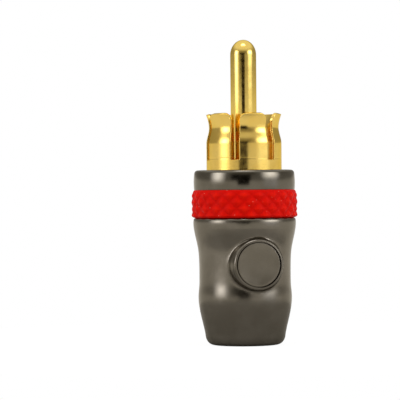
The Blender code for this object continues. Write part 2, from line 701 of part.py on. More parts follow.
def make_clamp_screw(home, helpers, material):
    """The slotted set screw, bored at its inner end for the tip's stem."""
    well = STEM_RADIUS + FIT
    outline = [
        (0.0, TIP_STEM_BOTTOM - FIT),
        (well, TIP_STEM_BOTTOM - FIT),
        (well, SCREW_TOP),
        (SCREW_RADIUS - SCREW_CHAMFER, SCREW_TOP),
        (SCREW_RADIUS, SCREW_TOP - SCREW_CHAMFER),
        (SCREW_RADIUS, SCREW_RECESS + SCREW_CHAMFER),
        (SCREW_RADIUS - SCREW_CHAMFER, SCREW_RECESS),
        (0.0, SCREW_RECESS),
    ]
    screw = place(turned("clamp_screw", outline, BORE_STEPS), home, material)
    reach = SCREW_RADIUS + OVERCUT
    slot = block(
        "driver_slot",
        (-reach, -SCREW_SLOT_WIDTH / 2, SCREW_RECESS - OVERCUT),
        (reach, SCREW_SLOT_WIDTH / 2, SCREW_RECESS + SCREW_SLOT_DEPTH),
    )
    combine(screw, slot, "DIFFERENCE", helpers)
    return settle(screw)


def make_screw_tip(home, material):
    """The swivelling cone that bites through the jacket without turning with the screw."""
    rim = SCREW_RADIUS - TIP_INSET
    outline = [
        (0.0, TIP_POINT),
        (TIP_POINT_DIAMETER / 2, TIP_POINT),
        (rim, TIP_CONE_BOTTOM + TIP_RIM),
        (rim, TIP_CONE_BOTTOM),
        (STEM_RADIUS, TIP_CONE_BOTTOM),
        (STEM_RADIUS, TIP_STEM_BOTTOM),
        (0.0, TIP_STEM_BOTTOM),
    ]
    return settle(place(turned("screw_tip", outline, SMALL_STEPS), home, material))


def main():
    clear_scene()
    home = new_collection("phono_plug")
    helpers = new_collection("helpers")
    nickel = new_material("black_nickel", (0.13, 0.12, 0.105), 1.0, 0.16)
    gold = new_material("gold_plate", (0.85, 0.6, 0.16), 1.0, 0.14)
    rubber = new_material("red_rubber", (0.5, 0.01, 0.004), 0.0, 0.55)
    bush = new_material("amber_polymer", (0.78, 0.55, 0.24), 0.0, 0.3)
    fibre = new_material("black_fibre", (0.03, 0.03, 0.03), 0.0, 0.6)

    make_housing(home, helpers, nickel)
    make_nose_ring(home, nickel)
    make_colour_band(home, rubber)
    make_ground_shell(home, helpers, gold)
    make_pin_insulator(home, bush)
    make_centre_pin(home, gold)
    make_contact_strip(home, helpers, gold)
    make_divider_washer(home, helpers, fibre)
    make_cable_sleeve(home, helpers, gold)
    make_spike_holder(home, bush)
    make_core_spike(home, gold)
    make_clamp_screw(home, helpers, gold)
    make_screw_tip(home, gold)


main()
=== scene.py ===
"""Finished look of a right-angle phono plug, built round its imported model.

The plug stands on its rear end with the contact pin up. Its badge boss faces -Y and its cable entry
opens to +Y. Every piece is drawn again in fine detail, in millimetres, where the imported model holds
it. It is dressed in a procedural finish and scaled to metres when it is placed.
"""

import logging
import math
from dataclasses import dataclass
from enum import Enum
from functools import cache
from typing import Iterable, NamedTuple, Optional, Sequence, Union

import bmesh
import bpy
from mathutils import Matrix, Quaternion, Vector
from mathutils.geometry import interpolate_bezier


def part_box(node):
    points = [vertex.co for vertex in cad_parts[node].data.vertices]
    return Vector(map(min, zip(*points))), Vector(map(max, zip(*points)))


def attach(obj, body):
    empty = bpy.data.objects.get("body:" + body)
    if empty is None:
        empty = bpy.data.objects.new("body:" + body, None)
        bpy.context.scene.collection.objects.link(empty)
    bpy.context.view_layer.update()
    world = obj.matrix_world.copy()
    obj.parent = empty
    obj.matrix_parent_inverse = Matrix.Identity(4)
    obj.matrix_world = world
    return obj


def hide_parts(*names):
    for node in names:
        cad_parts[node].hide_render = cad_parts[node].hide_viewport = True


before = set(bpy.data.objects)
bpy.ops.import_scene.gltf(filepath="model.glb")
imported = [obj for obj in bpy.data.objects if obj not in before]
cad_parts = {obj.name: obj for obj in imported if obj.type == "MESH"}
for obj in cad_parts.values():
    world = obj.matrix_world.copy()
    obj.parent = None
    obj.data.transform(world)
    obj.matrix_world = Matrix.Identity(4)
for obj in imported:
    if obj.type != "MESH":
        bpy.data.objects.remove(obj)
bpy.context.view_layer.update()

LOG = logging.getLogger("phono_plug")

Colour = tuple[float, float, float]
Outline = list[tuple[float, float]]
Profile = Sequence[tuple[float, ...]]  # corners as (radius, height) or (radius, height, round)
Shape = bmesh.types.BMesh
Socket = bpy.types.NodeSocket
Feed = Union[Socket, float, Sequence[float]]

MM = 0.001
WELD = 1e-5  # points closer than this are one, in millimetres
FIT = 0.05  # clearance between pieces that seat in each other
OVERCUT = 1.0  # how far a cutter runs past the face that it opens
ARC_STEPS = 5
BORE_STEPS = 96  # segments round a drilled hole
SHARP_ANGLE = math.radians(32)
CAMERA_AZIMUTH = math.radians(-16.0)  # from the badge's direction, towards -X
TO_CAMERA = Vector((math.sin(CAMERA_AZIMUTH), -math.cos(CAMERA_AZIMUTH), 0.0))
TO_RIGHT = Vector((math.cos(CAMERA_AZIMUTH), math.sin(CAMERA_AZIMUTH), 0.0))
UPWARDS = Vector((0.0, 0.0, 1.0))


@dataclass(frozen=True)
class Seat:
    """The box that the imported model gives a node, in millimetres.

    Attributes:
        low: Lowest corner.
        high: Highest corner.
    """

    low: Vector
    high: Vector

    @classmethod
    def of(cls, node: str) -> "Seat":
        """Reads the box of a node from the frame."""
        low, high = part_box(node)
        return cls(low / MM, high / MM)


CABLE_HEIGHT = (Seat.of("cable_sleeve").low.z + Seat.of("cable_sleeve").high.z) / 2
BAND_FOOT = Seat.of("colour_band").low.z
BAND_TOP = Seat.of("colour_band").high.z
BAND_DROP = 0.17  # how much lower the photograph has the joint of band and shoulder
LIP_HEIGHT = Seat.of("ground_shell").high.z


class Axis(Enum):
    """The line that a turned piece turns about, by where it points."""

    PIN = "+Z"
    ENTRY = "+Y"
    BADGE = "-Y"

    def matrix(self) -> Matrix:
        """Turns a piece from upright onto this axis, which is level with the cable or upright."""
        if self is Axis.PIN:
            return Matrix.Identity(4)
        turn = math.radians(-90 if self is Axis.ENTRY else 90)
        return Matrix.Translation((0, 0, CABLE_HEIGHT)) @ Matrix.Rotation(turn, 4, "X")


class Combine(Enum):
    """How one solid acts on another."""

    CUT = "DIFFERENCE"
    JOIN = "UNION"


class Corner(NamedTuple):
    """A corner of an outline, with the radius of its rounding.

    Attributes:
        radius: Distance from the axis.
        height: Place along the axis.
        round: Radius of the arc that takes the corner's place.
    """

    radius: float
    height: float
    round: float = 0.0


def spaced(start: float, length: float, count: int, first: int = 0) -> list[float]:
    """Lists the ends of equal steps along a length, from the first one that is wanted."""
    return [start + length * i / count for i in range(first, count + 1)]


def trace(profile: Profile, closed: bool = False, steps: int = ARC_STEPS) -> Outline:
    """Draws an outline through corners, with an arc at each rounded one.

    Args:
        profile: The corners in order. The two ends of an open outline stay sharp.
        closed: Whether the last corner joins the first.
        steps: Segments of each arc.

    Returns:
        The outline's points.
    """
    corners = [Corner(*entry) for entry in profile]
    points: Outline = []
    for i, corner in enumerate(corners):
        here = Vector(corner[:2])
        at_end = not closed and i in (0, len(corners) - 1)
        if at_end or corner.round == 0.0:
            points.append((here.x, here.y))
            continue
        before = (Vector(corners[i - 1][:2]) - here).normalized()
        after = (Vector(corners[(i + 1) % len(corners)][:2]) - here).normalized()
        half = before.angle(after) / 2
        reach = corner.round / math.tan(half)
        middle = here + (before + after).normalized() * corner.round / math.sin(half)
        first = here + before * reach - middle
        last = here + after * reach - middle
        start = math.atan2(first.y, first.x)
        sweep = math.remainder(math.atan2(last.y, last.x) - start, math.tau)
        for angle in spaced(start, sweep, steps):
            out, up = corner.round * math.cos(angle), corner.round * math.sin(angle)
            points.append((middle.x + out, middle.y + up))
    return points


def bow(first: Corner, last: Corner, first_slope: float, last_slope: float, steps: int) -> list[Corner]:
    """Draws a smooth curve between two corners.

    Args:
        first: Where the curve starts. It isn't repeated in the result.
        last: Where it ends.
        first_slope: Change of radius over height at the start.
        last_slope: Change of radius over height at the end.
        steps: Segments of the curve.

    Returns:
        Plain corners along the curve, up to and with the last one.
    """
    third = (last.height - first.height) / 3
    start, end = Vector(first[:2]), Vector(last[:2])
    pull = Vector((first_slope * third, third))
    push = Vector((last_slope * third, third))
    run = interpolate_bezier(start, start + pull, end - push, end, steps + 1)
    return [Corner(point.x, point.y) for point in run[1:]]


def lathe(outline: Outline, steps: int, axis: Axis = Axis.PIN, closed: bool = False) -> Shape:
    """Turns an outline into a solid.

    Args:
        outline: Points as (radius, place along the axis).
        steps: Segments round the axis.
        axis: The line that the outline turns about.
        closed: Whether the outline is a ring's whole section. Otherwise it ends on the axis.

    Returns:
        The turned shape.
    """
    shape = bmesh.new()
    chain = [shape.verts.new((radius, 0.0, height)) for radius, height in outline]
    pairs = list(zip(chain, chain[1:]))
    if closed:
        pairs.append((chain[-1], chain[0]))
    geometry = chain + [shape.edges.new(pair) for pair in pairs]
    bmesh.ops.spin(
        shape, geom=geometry, cent=(0, 0, 0), axis=(0, 0, 1), angle=math.tau, steps=steps, use_merge=True
    )
    bmesh.ops.remove_doubles(shape, verts=shape.verts, dist=WELD)
    bmesh.ops.recalc_face_normals(shape, faces=shape.faces)
    bmesh.ops.transform(shape, matrix=axis.matrix(), verts=shape.verts)
    return shape


def turned(profile: Profile, steps: int, axis: Axis = Axis.PIN, closed: bool = False) -> Shape:
    """Turns a solid straight from the corners of its outline."""
    return lathe(trace(profile, closed), steps, axis, closed)


def rod(radius: float, low: float, high: float, steps: int = BORE_STEPS, axis: Axis = Axis.PIN) -> Shape:
    """Makes a plain round bar along an axis."""
    return lathe([(0.0, high), (radius, high), (radius, low), (0.0, low)], steps, axis)


def block(low: Sequence[float], high: Sequence[float]) -> Shape:
    """Makes a box between two corners."""
    shape = bmesh.new()
    bmesh.ops.create_cube(shape, size=1.0)
    bmesh.ops.scale(shape, vec=[b - a for a, b in zip(low, high)], verts=shape.verts)
    bmesh.ops.translate(shape, vec=[(a + b) / 2 for a, b in zip(low, high)], verts=shape.verts)
    return shape


def mesh_of(shape: Shape, name: str) -> bpy.types.Mesh:
    """Writes a shape into a new mesh and frees it."""
    mesh = bpy.data.meshes.new(name)
    shape.to_mesh(mesh)
    shape.free()
    return mesh


def scene_object(name: str, data: bpy.types.ID) -> bpy.types.Object:
    """Puts a mesh or a camera into the scene."""
    obj = bpy.data.objects.new(name, data)
    bpy.context.scene.collection.objects.link(obj)
    return obj


def scratch_object(shape: Shape, name: str) -> bpy.types.Object:
    """Puts a shape into the scene for as long as modifiers need it."""
    return scene_object(name, mesh_of(shape, name))


def modify(obj: bpy.types.Object, kind: str, **settings: object) -> None:
    """Adds a modifier to a scratch object and sets its properties."""
    modifier = obj.modifiers.new(kind, kind)
    for key, value in settings.items():
        setattr(modifier, key, value)


def applied(obj: bpy.types.Object, *helpers: bpy.types.Object) -> Shape:
    """Takes the modifiers' result as a new shape and removes the objects that made it.

    Args:
        obj: The scratch object with its modifiers.
        helpers: Scratch objects that the modifiers name.

    Returns:
        The shape as the modifiers leave it.
    """
    bpy.context.view_layer.update()
    evaluated = obj.evaluated_get(bpy.context.evaluated_depsgraph_get())
    shape = bmesh.new()
    shape.from_mesh(evaluated.to_mesh())
    evaluated.to_mesh_clear()
    for used in (obj, *helpers):
        mesh = used.data
        bpy.data.objects.remove(used)
        bpy.data.meshes.remove(mesh)
    return shape


def combine(shape: Shape, tool: Shape, how: Combine) -> Shape:
    """Cuts or joins one closed solid with another."""
    base = scratch_object(shape, "base_solid")
    other = scratch_object(tool, "tool_solid")
    modify(base, "BOOLEAN", operation=how.value, solver="MANIFOLD", object=other)
    return applied(base, other)


def thickened(sheet: Shape, gauge: float, side: float, edge: float, segments: int, sharp: float) -> Shape:
    """Gives a bent sheet its thickness and softens its edges.

    Args:
        sheet: The open sheet.
        gauge: Its thickness.
        side: Where the thickness goes: -1 is inwards and 0 is to both sides.
        edge: Width of the softened edges.
        segments: Segments across such an edge.
        sharp: Smallest angle that counts as an edge, in degrees.

    Returns:
        The closed shape.
    """
    obj = scratch_object(sheet, "sheet")
    modify(obj, "SOLIDIFY", thickness=gauge, offset=side, use_even_offset=True)
    modify(
        obj, "BEVEL", width=edge, segments=segments, limit_method="ANGLE", angle_limit=math.radians(sharp)
    )
    return applied(obj)


def gathered(shapes: Iterable[Shape]) -> Shape:
    """Puts several shapes into one, without joining their surfaces."""
    whole = bmesh.new()
    for shape in shapes:
        mesh = mesh_of(shape, "gathered")
        whole.from_mesh(mesh)
        bpy.data.meshes.remove(mesh)
    return whole


class NodeBench:
    """Adds and links the nodes of one material or world."""

    def __init__(self, tree: bpy.types.NodeTree) -> None:
        """Starts on a node tree."""
        self.tree = tree

    @classmethod
    def emptied(cls, owner: Union[bpy.types.Material, bpy.types.World]) -> "NodeBench":
        """Starts on a material or world without any nodes."""
        owner.use_nodes = True
        owner.node_tree.nodes.clear()
        return cls(owner.node_tree)

    def node(
        self, kind: str, feeds: Optional[dict[Union[int, str], Feed]] = None, **settings: object
    ) -> bpy.types.bpy_prop_collection:
        """Adds a node and gives its outputs.

        Args:
            kind: The node's type.
            feeds: What goes into its inputs, by their name or number.
            settings: Its properties.

        Returns:
            Its outputs, by name.
        """
        made = self.tree.nodes.new(kind)
        for key, value in settings.items():
            setattr(made, key, value)
        for socket, value in (feeds or {}).items():
            self.feed(made.inputs[socket], value)
        return made.outputs

    def feed(self, target: Socket, value: Feed) -> None:
        """Links an output to a socket, or writes a constant on it."""
        if isinstance(value, bpy.types.NodeSocket):
            self.tree.links.new(value, target)
        else:
            target.default_value = value

    def maths(self, operation: str, *values: Feed) -> Socket:
        """Adds a Math node over its values."""
        return self.node("ShaderNodeMath", dict(enumerate(values)), operation=operation)["Value"]

    def vectors(self, operation: str, *values: Feed) -> bpy.types.bpy_prop_collection:
        """Adds a Vector Math node over its values."""
        return self.node("ShaderNodeVectorMath", dict(enumerate(values)), operation=operation)

    def ramp(self, value: Feed, start: float, end: float, low: float = 0.0, high: float = 1.0) -> Socket:
        """Eases from one value to another while the input goes from start to end."""
        feeds = {"Value": value, "From Min": start, "From Max": end, "To Min": low, "To Max": high}
        return self.node("ShaderNodeMapRange", feeds, interpolation_type="SMOOTHSTEP")["Result"]

    def mix(self, share: Feed, first: Feed, second: Feed) -> Socket:
        """Mixes two colours by a share from 0 to 1."""
        made = self.tree.nodes.new("ShaderNodeMix")
        made.data_type = "RGBA"
        self.feed(made.inputs["Factor"], share)
        colours = [socket for socket in made.inputs if socket.type == "RGBA"]
        for socket, value in zip(colours, (first, second)):
            self.feed(socket, value if isinstance(value, bpy.types.NodeSocket) else (*value, 1.0))
        return next(socket for socket in made.outputs if socket.type == "RGBA")

    def choose(self, share: Feed, first: Socket, second: Socket) -> Socket:
        """Mixes two shaders by a share from 0 to 1."""
        return self.node("ShaderNodeMixShader", {0: share, 1: first, 2: second})["Shader"]

    def place(self) -> Socket:
        """Gives object coordinates in millimetres."""
        place = self.node("ShaderNodeTexCoord")["Object"]
        feeds = {"Vector": place, "Scale": 1 / MM}
        return self.node("ShaderNodeVectorMath", feeds, operation="SCALE")["Vector"]

    def part(self, vector: Socket, letter: str) -> Socket:
        """Takes one coordinate out of a vector."""
        return self.node("ShaderNodeSeparateXYZ", {"Vector": vector})[letter]

    def noise(self, vector: Socket, size: float, detail: float = 2.0, harshness: float = 0.5) -> Socket:
        """Adds a noise whose blobs are about as large as the size, in millimetres."""
        feeds = {"Vector": vector, "Scale": 1 / size, "Detail": detail, "Roughness": harshness}
        return self.node("ShaderNodeTexNoise", feeds)["Fac"]

    def lines(self, along: Socket, gap: float, detail: float = 2.0) -> Socket:
        """Adds uneven lines across one coordinate, about a gap apart in millimetres."""
        feeds = {"W": along, "Scale": 1 / gap, "Detail": detail}
        return self.node("ShaderNodeTexNoise", feeds, noise_dimensions="1D")["Fac"]

    def specks(self, vector: Socket, spacing: float, size: float, share: float) -> Socket:
        """Adds a scatter of round specks.

        Args:
            vector: Object coordinates in millimetres.
            spacing: Mean distance between the cells that may hold a speck.
            size: Radius of a speck.
            share: Share of the cells that hold one.

        Returns:
            1 inside a speck and 0 outside.
        """
        cells = self.node("ShaderNodeTexVoronoi", {"Vector": vector, "Scale": 1 / spacing})
        near = self.ramp(cells["Distance"], size / spacing, 0.5 * size / spacing)
        pick = self.part(cells["Color"], "X")
        return self.maths("MULTIPLY", near, self.maths("LESS_THAN", pick, share))

    def bump(self, height: Socket, depth: float, below: Optional[Socket] = None) -> Socket:
        """Turns a height from 0 to 1 into a normal, for a relief as deep as depth in millimetres."""
        feeds = {"Height": height, "Distance": depth * MM}
        if below is not None:
            feeds["Normal"] = below
        return self.node("ShaderNodeBump", feeds)["Normal"]


@dataclass(frozen=True)
class Finish:
    """What every finish has.

    Attributes:
        name: The material's name.
        colour: Its colour where the surface is clean.
        shade: Its colour in the darker clouds of the surface.
        roughness: Its mean roughness.
        cloud_size: Size of the soft clouds in colour and polish, in millimetres.
    """

    name: str
    colour: Colour
    shade: Colour
    roughness: float
    cloud_size: float = 2.0

    @cache
    def material(self) -> bpy.types.Material:
        """Gives the finish's material, made at its first use."""
        made = bpy.data.materials.new(self.name)
        made.use_nodes = True
        self.paint(NodeBench(made.node_tree), made.node_tree.nodes["Principled BSDF"].inputs)
        return made

    def paint(self, bench: NodeBench, shader: bpy.types.bpy_prop_collection) -> None:
        """Lays the finish's nodes; each kind of finish has its own."""
        raise NotImplementedError


@dataclass(frozen=True)
class Plating(Finish):
    """Bright metal plate.

    Attributes:
        tint: Tint of the reflection at grazing angles.
        roughness_swing: How far the polish varies either way.
        grain_size: Size of the fine grain, in millimetres.
        grain_depth: Depth of the fine grain.
        line_gap: Distance between turning marks.
        line_depth: Depth of the turning marks, or 0 for a surface that wasn't turned.
        line_axis: Coordinate that the turning marks cross.
        wave_depth: Depth of the slow unevenness of the surface.
    """

    tint: Colour = (0.95, 0.86, 0.5)
    roughness_swing: float = 0.03
    grain_size: float = 0.07
    grain_depth: float = 0.0006
    line_gap: float = 0.08
    line_depth: float = 0.0
    line_axis: str = "Z"
    wave_depth: float = 0.0

    def paint(self, bench: NodeBench, shader: bpy.types.bpy_prop_collection) -> None:
        """Lays clouds in colour and polish, then grain, turning marks and slow waves."""
        place = bench.place()
        clouds = bench.ramp(bench.noise(place, self.cloud_size, 3.0), 0.35, 0.65)
        polish = bench.noise(place, self.cloud_size / 3, 4.0)
        low, high = self.roughness - self.roughness_swing, self.roughness + self.roughness_swing
        normal = bench.bump(bench.noise(place, self.grain_size, 2.0, 0.6), self.grain_depth)
        if self.line_depth > 0:
            marks = bench.lines(bench.part(place, self.line_axis), self.line_gap)
            normal = bench.bump(marks, self.line_depth, normal)
        if self.wave_depth > 0:
            normal = bench.bump(bench.noise(place, self.cloud_size, 1.0), self.wave_depth, normal)
        shader["Metallic"].default_value = 1.0
        shader["Specular Tint"].default_value = (*self.tint, 1.0)
        bench.feed(shader["Base Color"], bench.mix(clouds, self.colour, self.shade))
        bench.feed(shader["Roughness"], bench.ramp(polish, 0.3, 0.7, low, high))
        bench.feed(shader["Normal"], normal)


@dataclass(frozen=True)
class Rubber(Finish):
    """Matt moulded rubber with pale specks, and painted shade in the valleys of its knurl. Lengths are in
    millimetres.

    Attributes:
        sheen: Strength of its reflection.
        roughness_swing: How far its roughness varies either way.
        speck_colour: Colour of the specks.
        speck_spacing: Distance between the cells that may hold a speck.
        speck_size: Radius of a speck.
        speck_share: Share of the cells that hold one.
        speck_depth: How far the specks stand out.
        grain_size: Size of the moulded grain.
        grain_depth: Depth of the moulded grain.
        valley_radius: Radius at which the valleys between the tips lie.
        tip_radius: Radius at which the tips lie, where the painted shade gives way to the full colour.
        valley_painted_shade: Painted shade that darkens the valleys between the tips.
    """

    sheen: float = 0.05
    roughness_swing: float = 0.06
    speck_colour: Colour = (0.9, 0.4, 0.3)
    speck_spacing: float = 0.42
    speck_size: float = 0.05
    speck_share: float = 0.4
    speck_depth: float = 0.004
    grain_size: float = 0.12
    grain_depth: float = 0.006
    valley_radius: float = 6.34
    tip_radius: float = 6.52
    valley_painted_shade: Colour = (0.74, 0.004, 0.001)

    def paint(self, bench: NodeBench, shader: bpy.types.bpy_prop_collection) -> None:
        """Lays clouds of pigment with painted shade, darker in the valleys and lighter on the tips, and
        adds specks and a grain.
        """
        place = bench.place()
        clouds = bench.ramp(bench.noise(place, self.cloud_size, 3.0), 0.3, 0.7)
        specks = bench.specks(place, self.speck_spacing, self.speck_size, self.speck_share)
        flat = bench.vectors("MULTIPLY", place, (1.0, 1.0, 0.0))["Vector"]
        radius = bench.vectors("LENGTH", flat)["Value"]
        # Painted shade: by their radius, the valleys between the knurl's tips are darkened and the tips are
        # kept light.
        painted_relief_shading = bench.ramp(radius, self.valley_radius, self.tip_radius)
        body = bench.mix(painted_relief_shading, self.valley_painted_shade, bench.mix(clouds, self.colour, self.shade))
        low, high = self.roughness - self.roughness_swing, self.roughness + self.roughness_swing
        normal = bench.bump(bench.noise(place, self.grain_size, 3.0, 0.6), self.grain_depth)
        shader["Specular IOR Level"].default_value = self.sheen
        bench.feed(shader["Base Color"], bench.mix(specks, body, self.speck_colour))
        bench.feed(shader["Roughness"], bench.ramp(clouds, 0.0, 1.0, low, high))
        bench.feed(shader["Normal"], bench.bump(specks, self.speck_depth, normal))


@dataclass(frozen=True)
class Polymer(Finish):
    """Moulded or pressed insulating material. Lengths are in millimetres.

    Attributes:
        fleck_size: Size of the flecks.
        fleck_share: How strongly the shade shows as fibres and flecks.
        grain_size: Size of the surface's grain.
        grain_depth: Depth of the surface's grain.
        polish: How much smoother it is where it is clean.
        wear: How much rougher it is in clouds and flecks.
        depth_of_light: Share of light that enters the surface.
        light_reach: How far that light gets.
    """

    fleck_size: float = 0.12
    fleck_share: float = 0.2
    grain_size: float = 0.1
    grain_depth: float = 0.002
    polish: float = 0.05
    wear: float = 0.1
    depth_of_light: float = 0.0
    light_reach: float = 0.4

    def paint(self, bench: NodeBench, shader: bpy.types.bpy_prop_collection) -> None:
        """Lays clouds and flecks in the colour, with a fine grain."""
        place = bench.place()
        clouds = bench.ramp(bench.noise(place, self.cloud_size, 3.0), 0.3, 0.7, 0.0, 0.5)
        fibres = bench.noise(place, self.fleck_size, 4.0, 0.7)
        share = bench.maths("ADD", clouds, bench.ramp(fibres, 0.5, 0.7, 0.0, self.fleck_share))
        low, high = self.roughness - self.polish, self.roughness + self.wear
        shader["Subsurface Weight"].default_value = self.depth_of_light
        shader["Subsurface Scale"].default_value = self.light_reach * MM
        bench.feed(shader["Base Color"], bench.mix(share, self.colour, self.shade))
        bench.feed(shader["Roughness"], bench.ramp(share, 0.0, 1.0, low, high))
        bench.feed(shader["Normal"], bench.bump(bench.noise(place, self.grain_size, 3.0), self.grain_depth))


NICKEL_TINT = (0.95, 0.93, 0.88)
CAST_NICKEL = Plating(
    "black_nickel_cast", (0.205, 0.184, 0.148), (0.178, 0.159, 0.125), 0.23, 2.6,
    tint=NICKEL_TINT, grain_size=0.09, grain_depth=0.0012, wave_depth=0.006,
)
RING_NICKEL = Plating(
    "black_nickel_turned", (0.172, 0.155, 0.122), (0.150, 0.134, 0.103), 0.14, 2.0,
    tint=NICKEL_TINT, roughness_swing=0.02, grain_depth=0.0004, line_depth=0.0006,
)
SHELL_GOLD = Plating(
    "gold_shell", (0.96, 0.68, 0.18), (0.94, 0.645, 0.15), 0.17, 2.2,
    grain_depth=0.0005, line_gap=0.12, line_depth=0.0012, wave_depth=0.004,
)
PIN_GOLD = Plating(
    "gold_pin", (0.95, 0.695, 0.19), (0.93, 0.66, 0.16), 0.14, 1.8, line_gap=0.06, line_depth=0.0008
)
LINER_GOLD = Plating(
    "gold_liner", (0.90, 0.70, 0.21), (0.84, 0.63, 0.17), 0.17, 1.6,
    line_gap=0.1, line_depth=0.003, line_axis="Y",
)
SCREW_GOLD = Plating(
    "gold_screw", (0.88, 0.68, 0.20), (0.80, 0.59, 0.15), 0.2, 1.2,
    grain_depth=0.0012, line_gap=0.05, line_depth=0.0015,
)
STRIP_GOLD = Plating("gold_strip", (0.88, 0.68, 0.20), (0.80, 0.60, 0.16), 0.22, 1.4, grain_depth=0.0015)
RED_RUBBER = Rubber("moulded_red", (0.90, 0.010, 0.0015), (0.78, 0.005, 0.001), 0.5, 1.6)
AMBER_POLYMER = Polymer(
    "amber_polymer", (0.93, 0.42, 0.05), (0.84, 0.34, 0.035), 0.34, 1.5, depth_of_light=0.15
)
BLACK_FIBRE = Polymer(
    "black_fibre", (0.030, 0.028, 0.026), (0.075, 0.066, 0.056), 0.62, 0.8, fleck_share=0.5
)


def stand(name: str, shape: Shape, finish: Finish, node: str, body: str) -> bpy.types.Object:
    """Places a finished piece where its node is.

    Args:
        name: The piece's name.
        shape: Its shape, in millimetres.
        finish: What it is dressed in.
        node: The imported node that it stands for.
        body: The body that it rides on.

    Returns:
        The piece.
    """
    bmesh.ops.scale(shape, vec=(MM, MM, MM), verts=shape.verts)
    mesh = mesh_of(shape, name)
    mesh.shade_smooth()
    mesh.set_sharp_from_angle(angle=SHARP_ANGLE)
    mesh.materials.clear()
    mesh.materials.append(finish.material())
    piece = scene_object(name, mesh)
    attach(piece, body)
    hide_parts(node)
    triangles = sum(len(polygon.vertices) - 2 for polygon in mesh.polygons)
    LOG.info("%s stands for %s on body %s, %d triangles", name, node, body, triangles)
    return piece


@dataclass
class Casting:
    """The housing: a waisted body with a badge boss, a cable entry and stepped bores.

    Radii and places are in millimetres. Depths are measured back from the badge's or the entry's face.
    """

    shoulder_radius: float = 6.34
    shoulder_height: float = BAND_FOOT - BAND_DROP - FIT
    shoulder_round: float = 0.12
    shoulder_arc: float = 0.9  # share of that rounding's depth that its arc takes
    shoulder_lean: float = 0.05
    shoulder_slope: float = -0.22
    crest_depth: float = 0.5
    flank_radius: float = 5.71
    flank_height: float = 11.3
    flank_slope: float = 0.07
    waist_radius: float = 5.64
    waist_height: float = 7.8
    hip_radius: float = 5.78
    hip_height: float = 5.9
    foot_radius: float = 4.95
    foot_height: float = 1.3
    foot_slope: float = 0.18
    foot_round: float = 1.05
    spigot_radius: float = 5.95
    spigot_top: float = BAND_TOP
    badge_face: float = 6.3
    badge_radius: float = 3.02
    badge_round: float = 0.3
    bevel_radius: float = 3.19
    bevel_depth: float = 0.42
    badge_wall: float = 3.32
    badge_wall_depth: float = 1.1
    badge_skirt: float = 1.5
    badge_flare: float = 0.5
    groove_radius: float = 2.81
    groove_width: float = 0.26
    groove_depth: float = 0.42
    disc_drop: float = 0.1
    disc_dish: float = 0.1
    entry_face: float = 6.3
    entry_radius: float = 3.95
    entry_round: float = 0.32
    entry_arc: float = 0.98
    entry_skirt: float = 3.0
    entry_flare: float = 0.65
    entry_bore: float = 3.3
    entry_bore_end: float = -3.4
    mouth_round: float = 0.14
    spigot_bore: float = 5.35
    flange_seat: float = 16.25
    chamber_radius: float = 4.9
    chamber_floor: float = 14.05
    screw_hole: float = 2.05
    screw_chamfer: float = 0.3
    pocket_low: tuple[float, float, float] = (-1.5, -5.0, 8.5)
    pocket_high: tuple[float, float, float] = (1.5, -3.0, 14.45)
    stock: float = 0.03  # what the trimming cuts take off the bosses
    trim_reach: float = 0.4  # how far the trimming cuts run past the bosses' sides
    steps: int = 144
    foot_steps: int = 12
    skirt_steps: int = 10
    dish_steps: int = 8
    voxel: float = 0.108
    melt_passes: int = 22
    calm_passes: int = 6
    melt_top: float = 14.3
    badge_keep: float = 3.45  # the badge's own wall isn't melted inside this

    def silhouette(self) -> Outline:
        """Draws the outer side, from the spigot's top down to the flat rear end."""
        shoulder, brow = self.shoulder_height, self.shoulder_radius - self.shoulder_lean
        stations = [  # each with the slope of the side there and the steps up to it
            (Corner(self.foot_radius, self.foot_height), self.foot_slope, 0),
            (Corner(self.hip_radius, self.hip_height), 0.0, 14),
            (Corner(self.waist_radius, self.waist_height), 0.0, 8),
            (Corner(self.flank_radius, self.flank_height), self.flank_slope, 8),
            (Corner(self.shoulder_radius, shoulder - self.crest_depth), 0.0, 16),
            (Corner(brow, shoulder - self.shoulder_round), self.shoulder_slope, 6),
        ]
        rising = [stations[0][0]]
        for (first, first_slope, _), (last, last_slope, steps) in zip(stations, stations[1:]):
            rising += bow(first, last, first_slope, last_slope, steps)
        base = self.foot_radius - self.foot_round
        foot = [
            (base + self.foot_round * math.cos(angle), self.foot_height * (1 - math.sin(angle)))
            for angle in spaced(0.0, math.pi / 2, self.foot_steps, 1)
        ]
        top = [(0.0, self.spigot_top), (self.spigot_radius, self.spigot_top, 0.06)]
        ledge = [(self.spigot_radius, shoulder), (brow, shoulder, self.shoulder_arc * self.shoulder_round)]
        return trace([*top, *ledge, *rising[::-1], *foot, (0.0, 0.0)])

    def boss(self, edge: Outline, skirt: float, flare: float) -> Outline:
        """Draws a boss before it is trimmed.

        Args:
            edge: Its outline from the face to the foot of its wall.
            skirt: Length of the skirt below the wall.
            flare: How far the skirt widens, faster and faster.

        Returns:
            The boss's outline.
        """
        radius, height = edge[-1]
        shares = spaced(0.0, 1.0, self.skirt_steps, 1)
        run = [(radius + flare * t**2, height - skirt * t) for t in shares]
        return [(0.0, edge[0][1]), *edge, *run, (0.0, run[-1][1])]

    def skin(self) -> Shape:
        """Melts the body and its two bosses into one casting with soft fillets."""
        more = self.stock
        badge = [
            (self.badge_radius + more, self.badge_face + more),
            (self.bevel_radius + more, self.badge_face - self.bevel_depth),
            (self.badge_wall + more, self.badge_face - self.badge_wall_depth),
        ]
        wide = self.entry_radius + more
        entry = [(wide, self.entry_face + more), (wide, self.entry_face - self.entry_round)]
        forms = [
            lathe(self.silhouette(), self.steps),
            lathe(self.boss(badge, self.badge_skirt, self.badge_flare), self.steps, Axis.BADGE),
            lathe(self.boss(entry, self.entry_skirt, self.entry_flare), self.steps, Axis.ENTRY),
        ]
        whole = scratch_object(gathered(forms), "casting_forms")
        modify(whole, "REMESH", mode="VOXEL", voxel_size=self.voxel)
        shape = applied(whole)
        self.smooth(shape, list(shape.verts), self.calm_passes)
        self.smooth(shape, [vert for vert in shape.verts if self.melts(vert.co)], self.melt_passes)
        return shape

